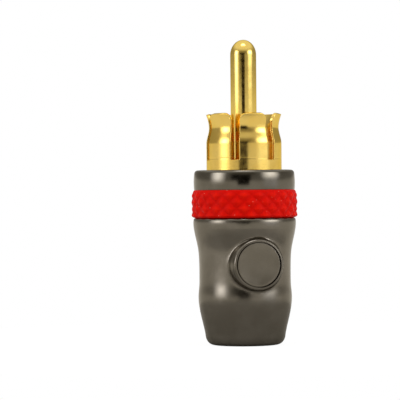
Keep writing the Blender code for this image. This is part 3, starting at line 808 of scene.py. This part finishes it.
    def melts(self, place: Vector) -> bool:
        """Says whether a place on the skin belongs to the soft flanks, and not to the badge or an edge."""
        on_badge = place.y < 0 and math.hypot(place.x, place.z - CABLE_HEIGHT) < self.badge_keep
        return self.foot_height < place.z < self.melt_top and not on_badge

    @staticmethod
    def smooth(shape: Shape, verts: list[bmesh.types.BMVert], passes: int) -> None:
        """Calms the surface, pass by pass."""
        for _ in range(passes):
            bmesh.ops.smooth_vert(
                shape, verts=verts, factor=0.5, use_axis_x=True, use_axis_y=True, use_axis_z=True
            )

    def badge_trim(self) -> Profile:
        """Draws the cutter of the badge's face: rounded rim, groove and a dished plain disc."""
        face, out = self.badge_face, self.trim_reach
        disc, floor, foot = face - self.disc_drop, face - self.groove_depth, face - self.bevel_depth
        inner, outer = (self.groove_radius + side * self.groove_width / 2 for side in (-1, 1))
        shares = spaced(0.0, 1.0, self.dish_steps)[:-1]
        dish = [(inner * t, disc - self.disc_dish * (1 - t**2)) for t in shares]
        return [
            *dish, (inner, disc, 0.06), (inner, floor, 0.04), (outer, floor, 0.04), (outer, face, 0.04),
            (self.badge_radius, face, self.badge_round), (self.bevel_radius, foot),
            (self.bevel_radius + out, foot + out), (self.bevel_radius + out, face + OVERCUT),
            (0.0, face + OVERCUT),
        ]

    def entry_trim(self) -> Profile:
        """Draws the cutter of the entry: its bore, the rounded mouth and the rim."""
        face, out, radius = self.entry_face, self.trim_reach, self.entry_radius
        foot = face - self.entry_round
        return [
            (0.0, self.entry_bore_end), (self.entry_bore, self.entry_bore_end, 0.05),
            (self.entry_bore, face, self.mouth_round), (radius, face, self.entry_arc * self.entry_round),
            (radius, foot), (radius + out, foot + out),
            (radius + out, face + OVERCUT), (0.0, face + OVERCUT),
        ]

    def front_bore(self) -> Profile:
        """Draws the cutter of the spigot's bore, the flange's ledge and the contact chamber."""
        top = self.spigot_top + OVERCUT
        return [
            (0.0, top), (self.spigot_bore, top), (self.spigot_bore, self.flange_seat, 0.04),
            (self.chamber_radius, self.flange_seat, 0.04), (self.chamber_radius, self.chamber_floor, 0.1),
            (0.0, self.chamber_floor),
        ]

    def screw_bore(self) -> Profile:
        """Draws the cutter of the clamp screw's hole, chamfered at the rear end."""
        mouth = self.screw_hole + self.screw_chamfer
        return [
            (0.0, CABLE_HEIGHT), (self.screw_hole, CABLE_HEIGHT),
            (self.screw_hole, self.screw_chamfer, 0.05), (mouth, 0.0), (mouth, -OVERCUT), (0.0, -OVERCUT),
        ]

    def build(self) -> None:
        """Makes the casting and cuts its faces and bores."""
        shape = self.skin()
        cutters = [
            turned(self.badge_trim(), self.steps, Axis.BADGE),
            turned(self.entry_trim(), self.steps, Axis.ENTRY),
            turned(self.front_bore(), self.steps),
            turned(self.screw_bore(), BORE_STEPS),
            block(self.pocket_low, self.pocket_high),
        ]
        for cutter in cutters:
            shape = combine(shape, cutter, Combine.CUT)
        stand("cast_housing", shape, CAST_NICKEL, "housing", "plug")


@dataclass
class FrontTrim:
    """The turned nose ring and the knurled colour band behind it.

    The ring's places come from its packed box; the rest are sizes in millimetres.
    """

    ring_bore: float = 4.75
    ring_tail: float = 5.3
    ring_foot: float = BAND_TOP + FIT / 5
    ring_belly: float = 20.0
    ring_bulge: float = 0.055
    ring_round: float = 0.44
    ring_edge: float = 0.05
    ring_steps: int = 192
    wall_start: float = 1.3  # the wall's first plain corner, in roundings from the top
    wall_steps: int = 12
    band_bore: float = 6.0
    band_root: float = 6.35
    band_edge: float = 6.18
    band_round: float = 0.28
    band_crown: float = 0.6
    band_scallop: float = 0.1
    band_steps: int = 528
    band_levels: int = 44
    knurl_depth: float = 0.195
    knurl_count: int = 22
    knurl_pitch: float = 0.82
    knurl_margin: float = 0.27
    knurl_sharpness: float = 5.0

    def ring(self) -> None:
        """Turns the nose ring: a barrel-like wall with a full round at its top edge."""
        seat = Seat.of("nose_ring")
        radius, top, bottom = seat.high.x, seat.high.z, seat.low.z
        start = top - self.wall_start * self.ring_round
        heights = [top, *spaced(start, self.ring_foot - start, self.wall_steps)]
        wall = [(radius - self.ring_bulge * (height - self.ring_belly) ** 2, height) for height in heights]
        profile = [
            (self.ring_bore, top, 0.12), (*wall[0], self.ring_round), *wall[1:-1],
            (*wall[-1], self.ring_edge), (self.ring_tail, self.ring_foot),
            (self.ring_tail, bottom, 0.05), (self.ring_bore, bottom, 0.05),
        ]
        shape = lathe(trace(profile, closed=True, steps=8), self.ring_steps, closed=True)
        stand("turned_nose_ring", shape, RING_NICKEL, "nose_ring", "plug")

    def knurl(self, angle: float, height: float) -> float:
        """Gives the knurl's relief at a point of the band's side.

        Args:
            angle: Angle round the axis.
            height: Height above the band's lower edge.

        Returns:
            0 in a valley, up to 1 on a tip.
        """
        column = angle / math.tau * self.knurl_count
        row = (height - self.knurl_margin) / (2 * self.knurl_pitch)
        rising = math.remainder(row + column, 1.0)
        falling = math.remainder(row - column, 1.0)
        power = self.knurl_sharpness
        away = 2 * (abs(rising) ** power + abs(falling) ** power) ** (1 / power)
        rise = max(0.0, 1.0 - away)
        return (rise**0.85 + rise * rise * (3 - 2 * rise)) / 2

    def band(self) -> None:
        """Moulds the colour band: a fine grid spun round the axis, raised into soft pyramids."""
        seat = Seat.of("colour_band")
        low, high = seat.low.z - BAND_DROP, seat.high.z
        side = [(self.band_root, level) for level in spaced(high, low - high, self.band_levels)]
        shape = lathe([(self.band_bore, high), *side, (self.band_bore, low)], self.band_steps, closed=True)
        for vert in shape.verts:
            if vert.co.xy.length < self.band_root - WELD * 10:
                continue
            angle, above = math.atan2(vert.co.y, vert.co.x), vert.co.z - low
            radius = self.band_root + self.knurl_depth * self.knurl(angle, above)
            edge = max(0.0, min(above / self.band_round, (high - vert.co.z) / self.band_crown))
            if edge < 1.0:
                radius = self.band_edge + (radius - self.band_edge) * (1 - (1 - edge) ** 2)
            vert.co.xy = vert.co.xy.normalized() * radius
            valley = abs(math.remainder(angle / math.tau * self.knurl_count, 1.0)) * 2
            vert.co.z += self.band_scallop * valley**2 * max(0.0, 1 - above / (2 * self.knurl_margin))
        stand("knurled_band", shape, RED_RUBBER, "colour_band", "plug")

    def build(self) -> None:
        """Makes the ring and the band."""
        self.ring()
        self.band()


@dataclass
class SocketContacts:
    """What goes into a socket: the petalled ground shell, the pin and the bush between them."""

    shell_wall: float = 0.42
    shell_edge: float = 0.055
    ring_step: float = 1.61
    lip_drop: float = 0.05
    petal_count: int = 6
    slot_width: float = 1.1
    slot_bottom: float = LIP_HEIGHT - 5.68
    corner_round: float = 0.95
    waist_depth: float = 0.34
    waist_below_lip: float = 1.65
    curve_length: float = 3.65
    ring_mark_height: float = LIP_HEIGHT - 5.5
    ring_mark_depth: float = 0.005
    ring_mark_width: float = 0.06
    marked_length: float = 0.8
    flange_top: float = 17.05
    flange_overlap: float = 0.1  # how deep the flange's cone starts in the tube's wall
    flange_seam: float = 0.01  # how far from that wall's inner side the cone ends
    flange_steps: int = 192
    rear_lip_radius: float = 3.43
    rear_lip_top: float = 16.72
    tube_start: float = 16.5
    tube_rows: int = 8
    marked_rows: int = 16
    straight_rows: int = 30
    curved_rows: int = 44
    petal_columns: int = 26
    slot_columns: int = 3
    pin_radius: float = 1.6
    nose_length: float = 1.88
    nose_steps: int = 24
    pin_seat: float = Seat.of("pin_insulator").high.z - 4.0
    tail_radius: float = 0.65
    rivet_radius: float = 1.0
    rivet_top: float = 15.0
    rivet_edge: float = 14.825
    insulator_step: float = 16.77
    insulator_neck: float = 3.38
    turn_steps: int = 128

    def lean(self, below_lip: float) -> float:
        """Gives how far a petal leans inwards, at a distance below the lip."""
        if below_lip > self.curve_length:
            return 0.0
        if below_lip < self.waist_below_lip:
            return self.waist_depth * math.sin(math.pi / 2 * below_lip / self.waist_below_lip)
        share = (self.curve_length - below_lip) / (self.curve_length - self.waist_below_lip)
        return self.waist_depth * (1 - math.cos(math.pi * share)) / 2

    def levels(self, lip: float) -> list[float]:
        """Lists the heights of the sheet's rows, closest where the wall bends."""
        above, plain = self.slot_bottom - self.marked_length, lip - self.curve_length
        tube = spaced(self.tube_start, above - self.tube_start, self.tube_rows)
        marked = spaced(above, self.marked_length, self.marked_rows, 1)
        straight = spaced(self.slot_bottom, plain - self.slot_bottom, self.straight_rows, 1)
        return tube + marked + straight + spaced(plain, self.curve_length, self.curved_rows, 1)

    def wall_radius(self, height: float, radius: float, lip: float) -> float:
        """Gives the shell's outer radius at a height, with its waist and its turned ring mark."""
        mark = math.exp(-(((height - self.ring_mark_height) / self.ring_mark_width) ** 2))
        return radius - self.lean(lip - height) - self.ring_mark_depth * mark

    def rounded_corner(self, from_edge: float, below_lip: float) -> tuple[float, float]:
        """Moves a point of a petal's top corner from the square onto the round one.

        Args:
            from_edge: Distance from the petal's edge.
            below_lip: Distance below its lip.

        Returns:
            The same two distances after the rounding.
        """
        reach = self.corner_round
        if from_edge >= reach or below_lip >= reach:
            return from_edge, below_lip
        across, up = 1 - from_edge / reach, 1 - below_lip / reach
        if across == 0.0 and up == 0.0:
            return from_edge, below_lip
        pull = max(across, up) / math.hypot(across, up)
        return reach * (1 - across * pull), reach * (1 - up * pull)

    def petal_sheet(self, radius: float, lip: float) -> Shape:
        """Bends a grid into a sixth of the shell's outer side, from slot middle to slot middle.

        Args:
            radius: The shell's outer radius.
            lip: Height of its lip.

        Returns:
            The open sheet, with the halves of the two slots cut out.
        """
        levels = self.levels(lip)
        rows, columns = len(levels) - 1, self.petal_columns + 2 * self.slot_columns
        sector = math.tau / self.petal_count
        shape = bmesh.new()
        bmesh.ops.create_grid(shape, x_segments=columns, y_segments=rows, size=0.5)
        in_slot: list[bmesh.types.BMFace] = []
        for face in shape.faces:
            centre = face.calc_center_median()
            column, row = int((centre.x + 0.5) * columns), int((centre.y + 0.5) * rows)
            beside = column < self.slot_columns or column >= columns - self.slot_columns
            if beside and levels[row + 1] > self.slot_bottom + WELD:
                in_slot.append(face)
        for vert in shape.verts:
            column = round((vert.co.x + 0.5) * columns)
            height = levels[round((vert.co.y + 0.5) * rows)]
            wide = self.wall_radius(height, radius, lip)
            half_slot = math.asin(self.slot_width / 2 / wide)
            if column < self.slot_columns or column > columns - self.slot_columns:
                turn = half_slot * (min(column, columns - column) / self.slot_columns)
                past_middle = column >= self.slot_columns
            else:
                share = (column - self.slot_columns) / self.petal_columns
                span = (sector - 2 * half_slot) * wide
                from_edge, below = self.rounded_corner(min(share, 1 - share) * span, lip - height)
                height = lip - below
                wide = self.wall_radius(height, radius, lip)
                turn = half_slot + from_edge / span * (sector - 2 * half_slot)
                past_middle = share > 0.5
            turn = sector - turn if past_middle else turn
            vert.co = (wide * math.cos(turn), wide * math.sin(turn), height)
        bmesh.ops.delete(shape, geom=in_slot, context="FACES")
        return shape

    def tube(self, radius: float, lip: float) -> Shape:
        """Sets the petals' sheets in a ring and gives them their wall.

        Args:
            radius: The shell's outer radius.
            lip: Height of its lip.

        Returns:
            The closed, slotted tube.
        """
        sheet = self.petal_sheet(radius, lip)
        first = list(sheet.verts) + list(sheet.edges) + list(sheet.faces)
        for i in range(1, self.petal_count):
            copy = bmesh.ops.duplicate(sheet, geom=first)["geom"]
            verts = [item for item in copy if isinstance(item, bmesh.types.BMVert)]
            turn = Matrix.Rotation(math.tau * i / self.petal_count, 3, "Z")
            bmesh.ops.rotate(sheet, cent=(0, 0, 0), matrix=turn, verts=verts)
        bmesh.ops.remove_doubles(sheet, verts=sheet.verts, dist=WELD * 10)
        bmesh.ops.recalc_face_normals(sheet, faces=sheet.faces)
        outward = sum(face.normal.xy.dot(face.calc_center_median().xy) for face in sheet.faces)
        if outward < 0:
            bmesh.ops.reverse_faces(sheet, faces=sheet.faces)
        return thickened(sheet, self.shell_wall, side=-1.0, edge=self.shell_edge, segments=3, sharp=50)

    def shell(self) -> None:
        """Makes the ground shell: the slotted tube and its clamped flange."""
        seat = Seat.of("ground_shell")
        radius = Seat.of("nose_ring").high.x - self.ring_step
        rim, bottom = seat.high.x, seat.low.z
        flange = [
            (self.rear_lip_radius, self.rear_lip_top, 0.03),
            (radius - self.shell_wall + self.flange_seam, self.rear_lip_top),
            (radius - self.flange_overlap, self.flange_top), (rim, self.flange_top, 0.05),
            (rim, bottom, 0.05), (self.rear_lip_radius, bottom, 0.03),
        ]
        tube = self.tube(radius, seat.high.z - self.lip_drop)
        shape = combine(tube, turned(flange, self.flange_steps, closed=True), Combine.JOIN)
        stand("petal_shell", shape, SHELL_GOLD, "ground_shell", "plug")

    def pin(self) -> None:
        """Turns the round-nosed pin with its riveted tail."""
        seat = Seat.of("centre_pin")
        top, bottom = seat.high.z, seat.low.z
        nose = [
            (self.pin_radius * math.sin(angle), top - self.nose_length * (1 - math.cos(angle)))
            for angle in spaced(0.0, math.pi / 2, self.nose_steps)
        ]
        profile = [
            *nose, (self.pin_radius, top - 4 * self.pin_radius), (self.pin_radius, self.pin_seat, 0.06),
            (self.tail_radius, self.pin_seat, 0.05), (self.tail_radius, self.rivet_top),
            (self.rivet_radius, self.rivet_top, 0.06), (self.rivet_radius, self.rivet_edge, 0.06),
            (self.tail_radius, bottom, 0.05), (0.0, bottom),
        ]
        shape = turned(profile, self.turn_steps)
        stand("round_nose_pin", shape, PIN_GOLD, "centre_pin", "plug")

    def insulator(self) -> None:
        """Turns the stepped bush between the pin and the shell."""
        seat = Seat.of("pin_insulator")
        top, bottom, radius = seat.high.z, seat.low.z, seat.high.x
        bore, hole, ledge = self.pin_radius + FIT, self.tail_radius + FIT, self.pin_seat - FIT
        profile = [
            (bore, top, 0.1), (radius, top, 0.15), (radius, self.insulator_step, 0.05),
            (self.insulator_neck, self.insulator_step, 0.05), (self.insulator_neck, bottom, 0.05),
            (hole, bottom, 0.03), (hole, ledge, 0.03), (bore, ledge, 0.03),
        ]
        shape = turned(profile, self.turn_steps, closed=True)
        stand("moulded_insulator", shape, AMBER_POLYMER, "pin_insulator", "plug")

    def build(self) -> None:
        """Makes the shell, the pin and the insulator."""
        self.shell()
        self.pin()
        self.insulator()


@dataclass
class InnerContacts:
    """The bent strip between the pin and the spike, and the washer that it stands on."""

    strip_width: float = 2.2
    strip_gauge: float = 0.3
    strip_end: float = 1.1
    bend_radius: float = 0.45
    tail_hole: float = 0.7
    stub_hole: float = 0.6
    hole_steps: int = 48
    edge: float = 0.04
    washer_notch: float = 1.3
    notch_play: float = 0.4

    def strip(self) -> None:
        """Bends the strip, gives it its gauge and punches the two rivet holes."""
        seat = Seat.of("contact_strip")
        level, wall = seat.high.z - self.strip_gauge / 2, seat.low.y + self.strip_gauge / 2
        foot = CABLE_HEIGHT - self.strip_end
        bend = [(self.strip_end, level), (wall, level, self.bend_radius), (wall, foot)]
        sheet = bmesh.new()
        chain = [sheet.verts.new((-self.strip_width / 2, y, z)) for y, z in trace(bend, steps=8)]
        edges = [sheet.edges.new(pair) for pair in zip(chain, chain[1:])]
        drawn = bmesh.ops.extrude_edge_only(sheet, edges=edges)["geom"]
        side = [item for item in drawn if isinstance(item, bmesh.types.BMVert)]
        bmesh.ops.translate(sheet, vec=(self.strip_width, 0, 0), verts=side)
        shape = thickened(sheet, self.strip_gauge, side=0.0, edge=self.edge, segments=2, sharp=60)
        reach = 4 * self.strip_gauge
        for radius, middle, axis in ((self.tail_hole, level, Axis.PIN), (self.stub_hole, wall, Axis.ENTRY)):
            punch = rod(radius, middle - reach, middle + reach, self.hole_steps, axis)
            shape = combine(shape, punch, Combine.CUT)
        stand("bent_strip", shape, STRIP_GOLD, "contact_strip", "plug")

    def washer(self) -> None:
        """Cuts the fibre washer from sheet, with the notch that the strip passes."""
        seat = Seat.of("divider_washer")
        radius, top, bottom = seat.high.x, seat.high.z, seat.low.z
        profile = [(0.0, top), (radius, top, self.edge), (radius, bottom, self.edge), (0.0, bottom)]
        disc = lathe(trace(profile, steps=3), BORE_STEPS)
        strip_front = Seat.of("contact_strip").low.y + self.strip_gauge + self.notch_play
        notch = block(
            (-self.washer_notch, -2 * radius, bottom - OVERCUT),
            (self.washer_notch, strip_front, top + OVERCUT),
        )
        shape = combine(disc, notch, Combine.CUT)
        stand("fibre_washer", shape, BLACK_FIBRE, "divider_washer", "plug")

    def build(self) -> None:
        """Makes the strip and the washer."""
        self.strip()
        self.washer()


@dataclass
class CableEntry:
    """What the cable meets: the plated liner, and the bush with its spike at the bore's end."""

    liner_bore: float = 2.95
    liner_radius: float = 3.25
    drill_radius: float = 2.1
    spike_radius: float = 0.55
    spike_point: float = 1.2
    spike_steps: int = 64
    blunt_radius: float = 0.06
    blunt_depth: float = 0.05
    collar_radius: float = 1.1
    collar_thickness: float = 0.4
    rivet_radius: float = 0.9
    holder_step: float = -2.75
    holder_back: float = -3.35
    holder_boss: float = 1.4
    strip_back: float = -4.4
    turn_steps: int = 120

    def liner(self) -> None:
        """Turns the liner and drills it underneath for the clamp screw."""
        seat = Seat.of("cable_sleeve")
        profile = [
            (self.liner_bore, seat.high.y, 0.12), (self.liner_radius, seat.high.y, 0.08),
            (self.liner_radius, seat.low.y, 0.04), (self.liner_bore, seat.low.y, 0.04),
        ]
        drill = rod(self.drill_radius, CABLE_HEIGHT - self.liner_radius - OVERCUT, CABLE_HEIGHT)
        shape = combine(turned(profile, self.turn_steps, Axis.ENTRY, closed=True), drill, Combine.CUT)
        stand("entry_liner", shape, LINER_GOLD, "cable_sleeve", "plug")

    def holder(self) -> None:
        """Turns the insulating bush that closes the bore."""
        seat = Seat.of("spike_holder")
        front, back, rim = seat.high.y, seat.low.y, seat.high.x
        bore, nose = self.spike_radius + FIT, self.liner_bore - FIT
        profile = [
            (bore, front, 0.05), (nose, front, 0.15), (nose, self.holder_step, 0.03),
            (rim, self.holder_step, 0.03), (rim, self.holder_back, 0.06),
            (self.holder_boss, self.holder_back, 0.05), (self.holder_boss, back, 0.08), (bore, back, 0.03),
        ]
        shape = turned(profile, self.turn_steps, Axis.ENTRY, closed=True)
        stand("spike_bush", shape, AMBER_POLYMER, "spike_holder", "plug")

    def spike(self) -> None:
        """Turns the pointed contact, with its collar in front and its riveted stub behind."""
        seat = Seat.of("core_spike")
        point, end, radius = seat.high.y, seat.low.y, self.spike_radius
        front = Seat.of("spike_holder").high.y + FIT
        collar = front + self.collar_thickness
        rivet_edge = (end + self.strip_back) / 2
        profile = [
            (0.0, point), (self.blunt_radius, point - self.blunt_depth, 0.03),
            (radius, point - self.spike_point, 0.3), (radius, collar, 0.08),
            (self.collar_radius, collar, 0.08), (self.collar_radius, front, 0.04), (radius, front),
            (radius, self.strip_back), (self.rivet_radius, self.strip_back, 0.05),
            (self.rivet_radius, rivet_edge, 0.06), (radius, end, 0.05), (0.0, end),
        ]
        shape = turned(profile, self.spike_steps, Axis.ENTRY)
        stand("core_needle", shape, STRIP_GOLD, "core_spike", "plug")

    def build(self) -> None:
        """Makes the liner, the bush and the spike."""
        self.liner()
        self.holder()
        self.spike()


@dataclass
class CableClamp:
    """The set screw in the rear end and the cone that it pushes into the cable."""

    screw_radius: float = 2.0
    thread_pitch: float = 0.5
    thread_depth: float = 0.2
    flank_gain: float = 1.25  # how steeply the thread's flanks fall
    crest_share: float = 0.05  # what the flat on the crest takes off that fall
    screw_chamfer: float = 0.32
    slot_width: float = 0.6
    slot_depth: float = 0.9
    well_radius: float = 0.85
    well_bottom: float = 4.05
    stem_radius: float = 0.8
    cone_rim: float = 1.7
    cone_bottom: float = 5.6
    rim_height: float = 0.3
    point_radius: float = 0.25
    turn_steps: int = 96
    levels_per_turn: int = 10

    def thread(self, shape: Shape, low: float, high: float) -> None:
        """Cuts a right-hand thread by drawing the side in, point by point along the helix.

        Args:
            shape: The turned blank, with close rows along its side.
            low: Height of its lower end.
            high: Height of its upper end.
        """
        for vert in shape.verts:
            radius = vert.co.xy.length
            inside = low + self.screw_chamfer / 2 < vert.co.z < high - self.screw_chamfer / 2
            if radius < self.screw_radius - self.screw_chamfer or not inside:
                continue
            turns = vert.co.z / self.thread_pitch - math.atan2(vert.co.y, vert.co.x) / math.tau
            groove = 1 - abs(math.remainder(turns, 1.0)) * 2
            groove = min(1.0, max(0.0, self.flank_gain * groove - self.crest_share))
            limit = self.screw_radius - self.thread_depth * groove
            if radius > limit:
                vert.co.xy = vert.co.xy.normalized() * limit

    def screw(self) -> None:
        """Turns the screw with its well, threads it and saws the driver slot."""
        seat = Seat.of("clamp_screw")
        low, high, rim = seat.low.z, seat.high.z, self.screw_radius - self.screw_chamfer
        span = high - low - 2 * self.screw_chamfer
        rows = round(span / self.thread_pitch * self.levels_per_turn)
        side = [(self.screw_radius, level) for level in spaced(high - self.screw_chamfer, -span, rows)]
        profile = [
            (0.0, self.well_bottom), (self.well_radius, self.well_bottom, 0.05),
            (self.well_radius, high, 0.06), (rim, high), *side, (rim, low), (0.0, low),
        ]
        shape = turned(profile, self.turn_steps)
        self.thread(shape, low, high)
        reach, half = self.screw_radius + OVERCUT, self.slot_width / 2
        saw = block((-reach, -half, low - OVERCUT), (reach, half, low + self.slot_depth))
        shape = combine(shape, saw, Combine.CUT)
        stand("slotted_screw", shape, SCREW_GOLD, "clamp_screw", "screw")

    def tip(self) -> None:
        """Turns the cone and its stem."""
        seat = Seat.of("screw_tip")
        top, bottom, cone = seat.high.z, seat.low.z, self.cone_bottom
        profile = [
            (0.0, top), (self.point_radius, top, 0.08), (self.cone_rim, cone + self.rim_height, 0.08),
            (self.cone_rim, cone, 0.06), (self.stem_radius, cone, 0.05),
            (self.stem_radius, bottom, 0.06), (0.0, bottom),
        ]
        shape = turned(profile, self.turn_steps)
        stand("clamp_cone", shape, SCREW_GOLD, "screw_tip", "tip")

    def build(self) -> None:
        """Makes the screw and its tip."""
        self.screw()
        self.tip()


@dataclass(frozen=True)
class SkyPanel:
    """A soft-edged panel of the studio, as seen from the plug. Angles are in degrees.

    Attributes:
        azimuth: Middle of the panel, from the camera's direction towards its right.
        elevation: Middle of the panel above the horizon.
        half_width: Half its width.
        half_height: Half its height.
        side_fade: Width of the soft edge at its sides.
        end_fade: Width of the soft edge above and below it.
        light: Its colour, where 1 is white.
    """

    azimuth: float
    elevation: float
    half_width: float
    half_height: float
    side_fade: float
    end_fade: float
    light: Colour


@dataclass
class Studio:
    """A pale studio: white behind, two large softboxes, a dim back and the dark gap at the camera."""

    room: Colour = (0.33, 0.315, 0.29)
    panels: tuple[SkyPanel, ...] = (
        SkyPanel(0.0, 90.0, 200.0, 59.0, 10.0, 28.0, (0.86, 0.85, 0.83)),
        SkyPanel(0.0, -45.0, 200.0, 47.7, 10.0, 2.4, (0.76, 0.73, 0.68)),
        SkyPanel(-63.5, 12.8, 12.5, 10.2, 24.0, 9.0, (4.4, 4.4, 4.7)),
        SkyPanel(63.0, 2.0, 17.0, 8.0, 20.0, 6.0, (0.93, 0.94, 1.0)),
        SkyPanel(64.0, 15.6, 17.0, 8.8, 26.0, 6.0, (4.4, 4.4, 4.6)),
        SkyPanel(0.0, 74.0, 45.0, 8.0, 20.0, 10.0, (4.6, 4.6, 4.9)),
        SkyPanel(-2.0, 18.0, 29.0, 7.0, 14.0, 8.0, (0.21, 0.195, 0.16)),
        SkyPanel(-8.0, 8.0, 23.0, 5.0, 8.0, 4.0, (0.02, 0.018, 0.013)),
        SkyPanel(-2.0, 1.8, 13.5, 5.7, 6.0, 4.0, (0.008, 0.005, 0.002)),
    )
    floor_radius: float = 50.0
    floor_hole: float = 3.4  # under the rear end, so that light reaches it
    floor_steps: int = 96
    floor_glow: float = 0.85
    floor_strength: float = 1.13
    floor_drop: float = 0.01
    floor_colour: Colour = (0.43, 0.42, 0.40)
    floor_cloud: float = 40.0
    cloud_shade: float = 0.97

    def light(self) -> None:
        """Sets the world: plain white to the camera, the panels to everything else."""
        world = bpy.data.worlds.new("pale_studio")
        bpy.context.scene.world = world
        bench = NodeBench.emptied(world)
        direction = bench.node("ShaderNodeTexCoord")["Generated"]
        towards, rightwards, upwards = (
            bench.vectors("DOT_PRODUCT", direction, line)["Value"]
            for line in (TO_CAMERA, TO_RIGHT, UPWARDS)
        )
        azimuth = bench.maths("DEGREES", bench.maths("ARCTAN2", rightwards, towards))
        elevation = bench.maths("DEGREES", bench.maths("ARCSINE", upwards))
        colour: Feed = self.room
        for panel in self.panels:
            colour = bench.mix(self.cover(bench, panel, azimuth, elevation), colour, panel.light)
        lit = bench.node("ShaderNodeBackground", {"Color": colour})["Background"]
        white = bench.node("ShaderNodeBackground", {"Color": (1.0, 1.0, 1.0, 1.0)})["Background"]
        seen = bench.node("ShaderNodeLightPath")["Is Camera Ray"]
        bench.node("ShaderNodeOutputWorld", {"Surface": bench.choose(seen, lit, white)})

    @staticmethod
    def cover(bench: NodeBench, panel: SkyPanel, azimuth: Socket, elevation: Socket) -> Socket:
        """Gives 1 inside a panel and 0 outside, with its soft edge between."""
        side, end = panel.side_fade / 2, panel.end_fade / 2
        aside = bench.maths("WRAP", bench.maths("SUBTRACT", azimuth, panel.azimuth), 180.0, -180.0)
        aside = bench.maths("ABSOLUTE", aside)
        above = bench.maths("ABSOLUTE", bench.maths("SUBTRACT", elevation, panel.elevation))
        wide = bench.ramp(aside, panel.half_width + side, panel.half_width - side)
        tall = bench.ramp(above, panel.half_height + end, panel.half_height - end)
        return bench.maths("MULTIPLY", wide, tall)

    def floor_finish(self) -> bpy.types.Material:
        """Makes the floor's material: white to the camera, with a faint shadow, and clear from below."""
        material = bpy.data.materials.new("pale_floor")
        bench = NodeBench.emptied(material)
        clouds = bench.noise(bench.place(), self.floor_cloud)
        shade = tuple(self.cloud_shade * part for part in self.floor_colour)
        colour = bench.mix(clouds, self.floor_colour, shade)
        matt = bench.node("ShaderNodeBsdfDiffuse", {"Color": colour})["BSDF"]
        glow = bench.node("ShaderNodeEmission", {"Strength": self.floor_strength})["Emission"]
        path = bench.node("ShaderNodeLightPath")
        seen = bench.maths("MAXIMUM", path["Is Camera Ray"], path["Is Transmission Ray"])
        front = bench.choose(bench.maths("MULTIPLY", seen, self.floor_glow), matt, glow)
        behind = bench.node("ShaderNodeNewGeometry")["Backfacing"]
        clear = bench.node("ShaderNodeBsdfTransparent")["BSDF"]
        bench.node("ShaderNodeOutputMaterial", {"Surface": bench.choose(behind, front, clear)})
        return material

    def floor(self) -> None:
        """Lays the pale floor as a wide ring."""
        level = -self.floor_drop
        shape = lathe([(self.floor_hole, level), (self.floor_radius, level)], self.floor_steps)
        bmesh.ops.scale(shape, vec=(MM, MM, MM), verts=shape.verts)
        if sum(face.normal.z for face in shape.faces) < 0:
            bmesh.ops.reverse_faces(shape, faces=shape.faces)
        plane = scene_object("pale_floor", mesh_of(shape, "pale_floor"))
        plane.data.materials.append(self.floor_finish())

    def build(self) -> None:
        """Sets the light and lays the floor."""
        self.light()
        self.floor()


@dataclass(frozen=True)
class Viewpoint:
    """The photograph's camera. Pixels are of its 400 by 400 frame.

    Attributes:
        distance: From the plug's axis, in millimetres.
        height: Above the surface that the plug stands on.
        focal_pixels: Focal length.
        frame_pixels: Width and height of the frame.
        plug_column: Where the plug's axis stands.
        horizon_row: Where the horizon lies.
        roll: How far the camera leans clockwise, in degrees.
        sensor: Width of the sensor, in millimetres.
        near: Nearest distance that it shows.
        far: Farthest distance that it shows.
    """

    distance: float = 279.0
    height: float = 18.5
    focal_pixels: float = 2259.0
    frame_pixels: float = 400.0
    plug_column: float = 244.4
    horizon_row: float = 195.0
    roll: float = 0.5
    sensor: float = 36.0
    near: float = 10.0
    far: float = 10000.0

    def build(self) -> None:
        """Sets up the camera, level and aimed so that the plug stands where the photograph has it."""
        middle = self.frame_pixels / 2
        aim = -TO_CAMERA
        aim += TO_RIGHT * (middle - self.plug_column) / self.focal_pixels
        aim += UPWARDS * (self.horizon_row - middle) / self.focal_pixels
        data = bpy.data.cameras.new("photo_camera")
        data.sensor_width = self.sensor
        data.lens = self.focal_pixels / self.frame_pixels * self.sensor
        data.clip_start = self.near * MM
        data.clip_end = self.far * MM
        camera = scene_object("photo_camera", data)
        camera.location = (TO_CAMERA * self.distance + UPWARDS * self.height) * MM
        camera.rotation_mode = "QUATERNION"
        lean = Quaternion(UPWARDS, math.radians(-self.roll))
        camera.rotation_quaternion = aim.to_track_quat("-Z", "Y") @ lean
        bpy.context.scene.camera = camera


def main() -> None:
    """Builds the studio, the camera and every piece of the plug."""
    logging.basicConfig(level=logging.INFO, format="%(name)s: %(message)s")
    bpy.context.scene.view_settings.view_transform = "Standard"
    sections = (
        Studio(), Viewpoint(), Casting(), FrontTrim(),
        SocketContacts(), InnerContacts(), CableEntry(), CableClamp(),
    )
    for section in sections:
        LOG.info("building %s", type(section).__name__)
        section.build()


if __name__ == "__main__":
    main()
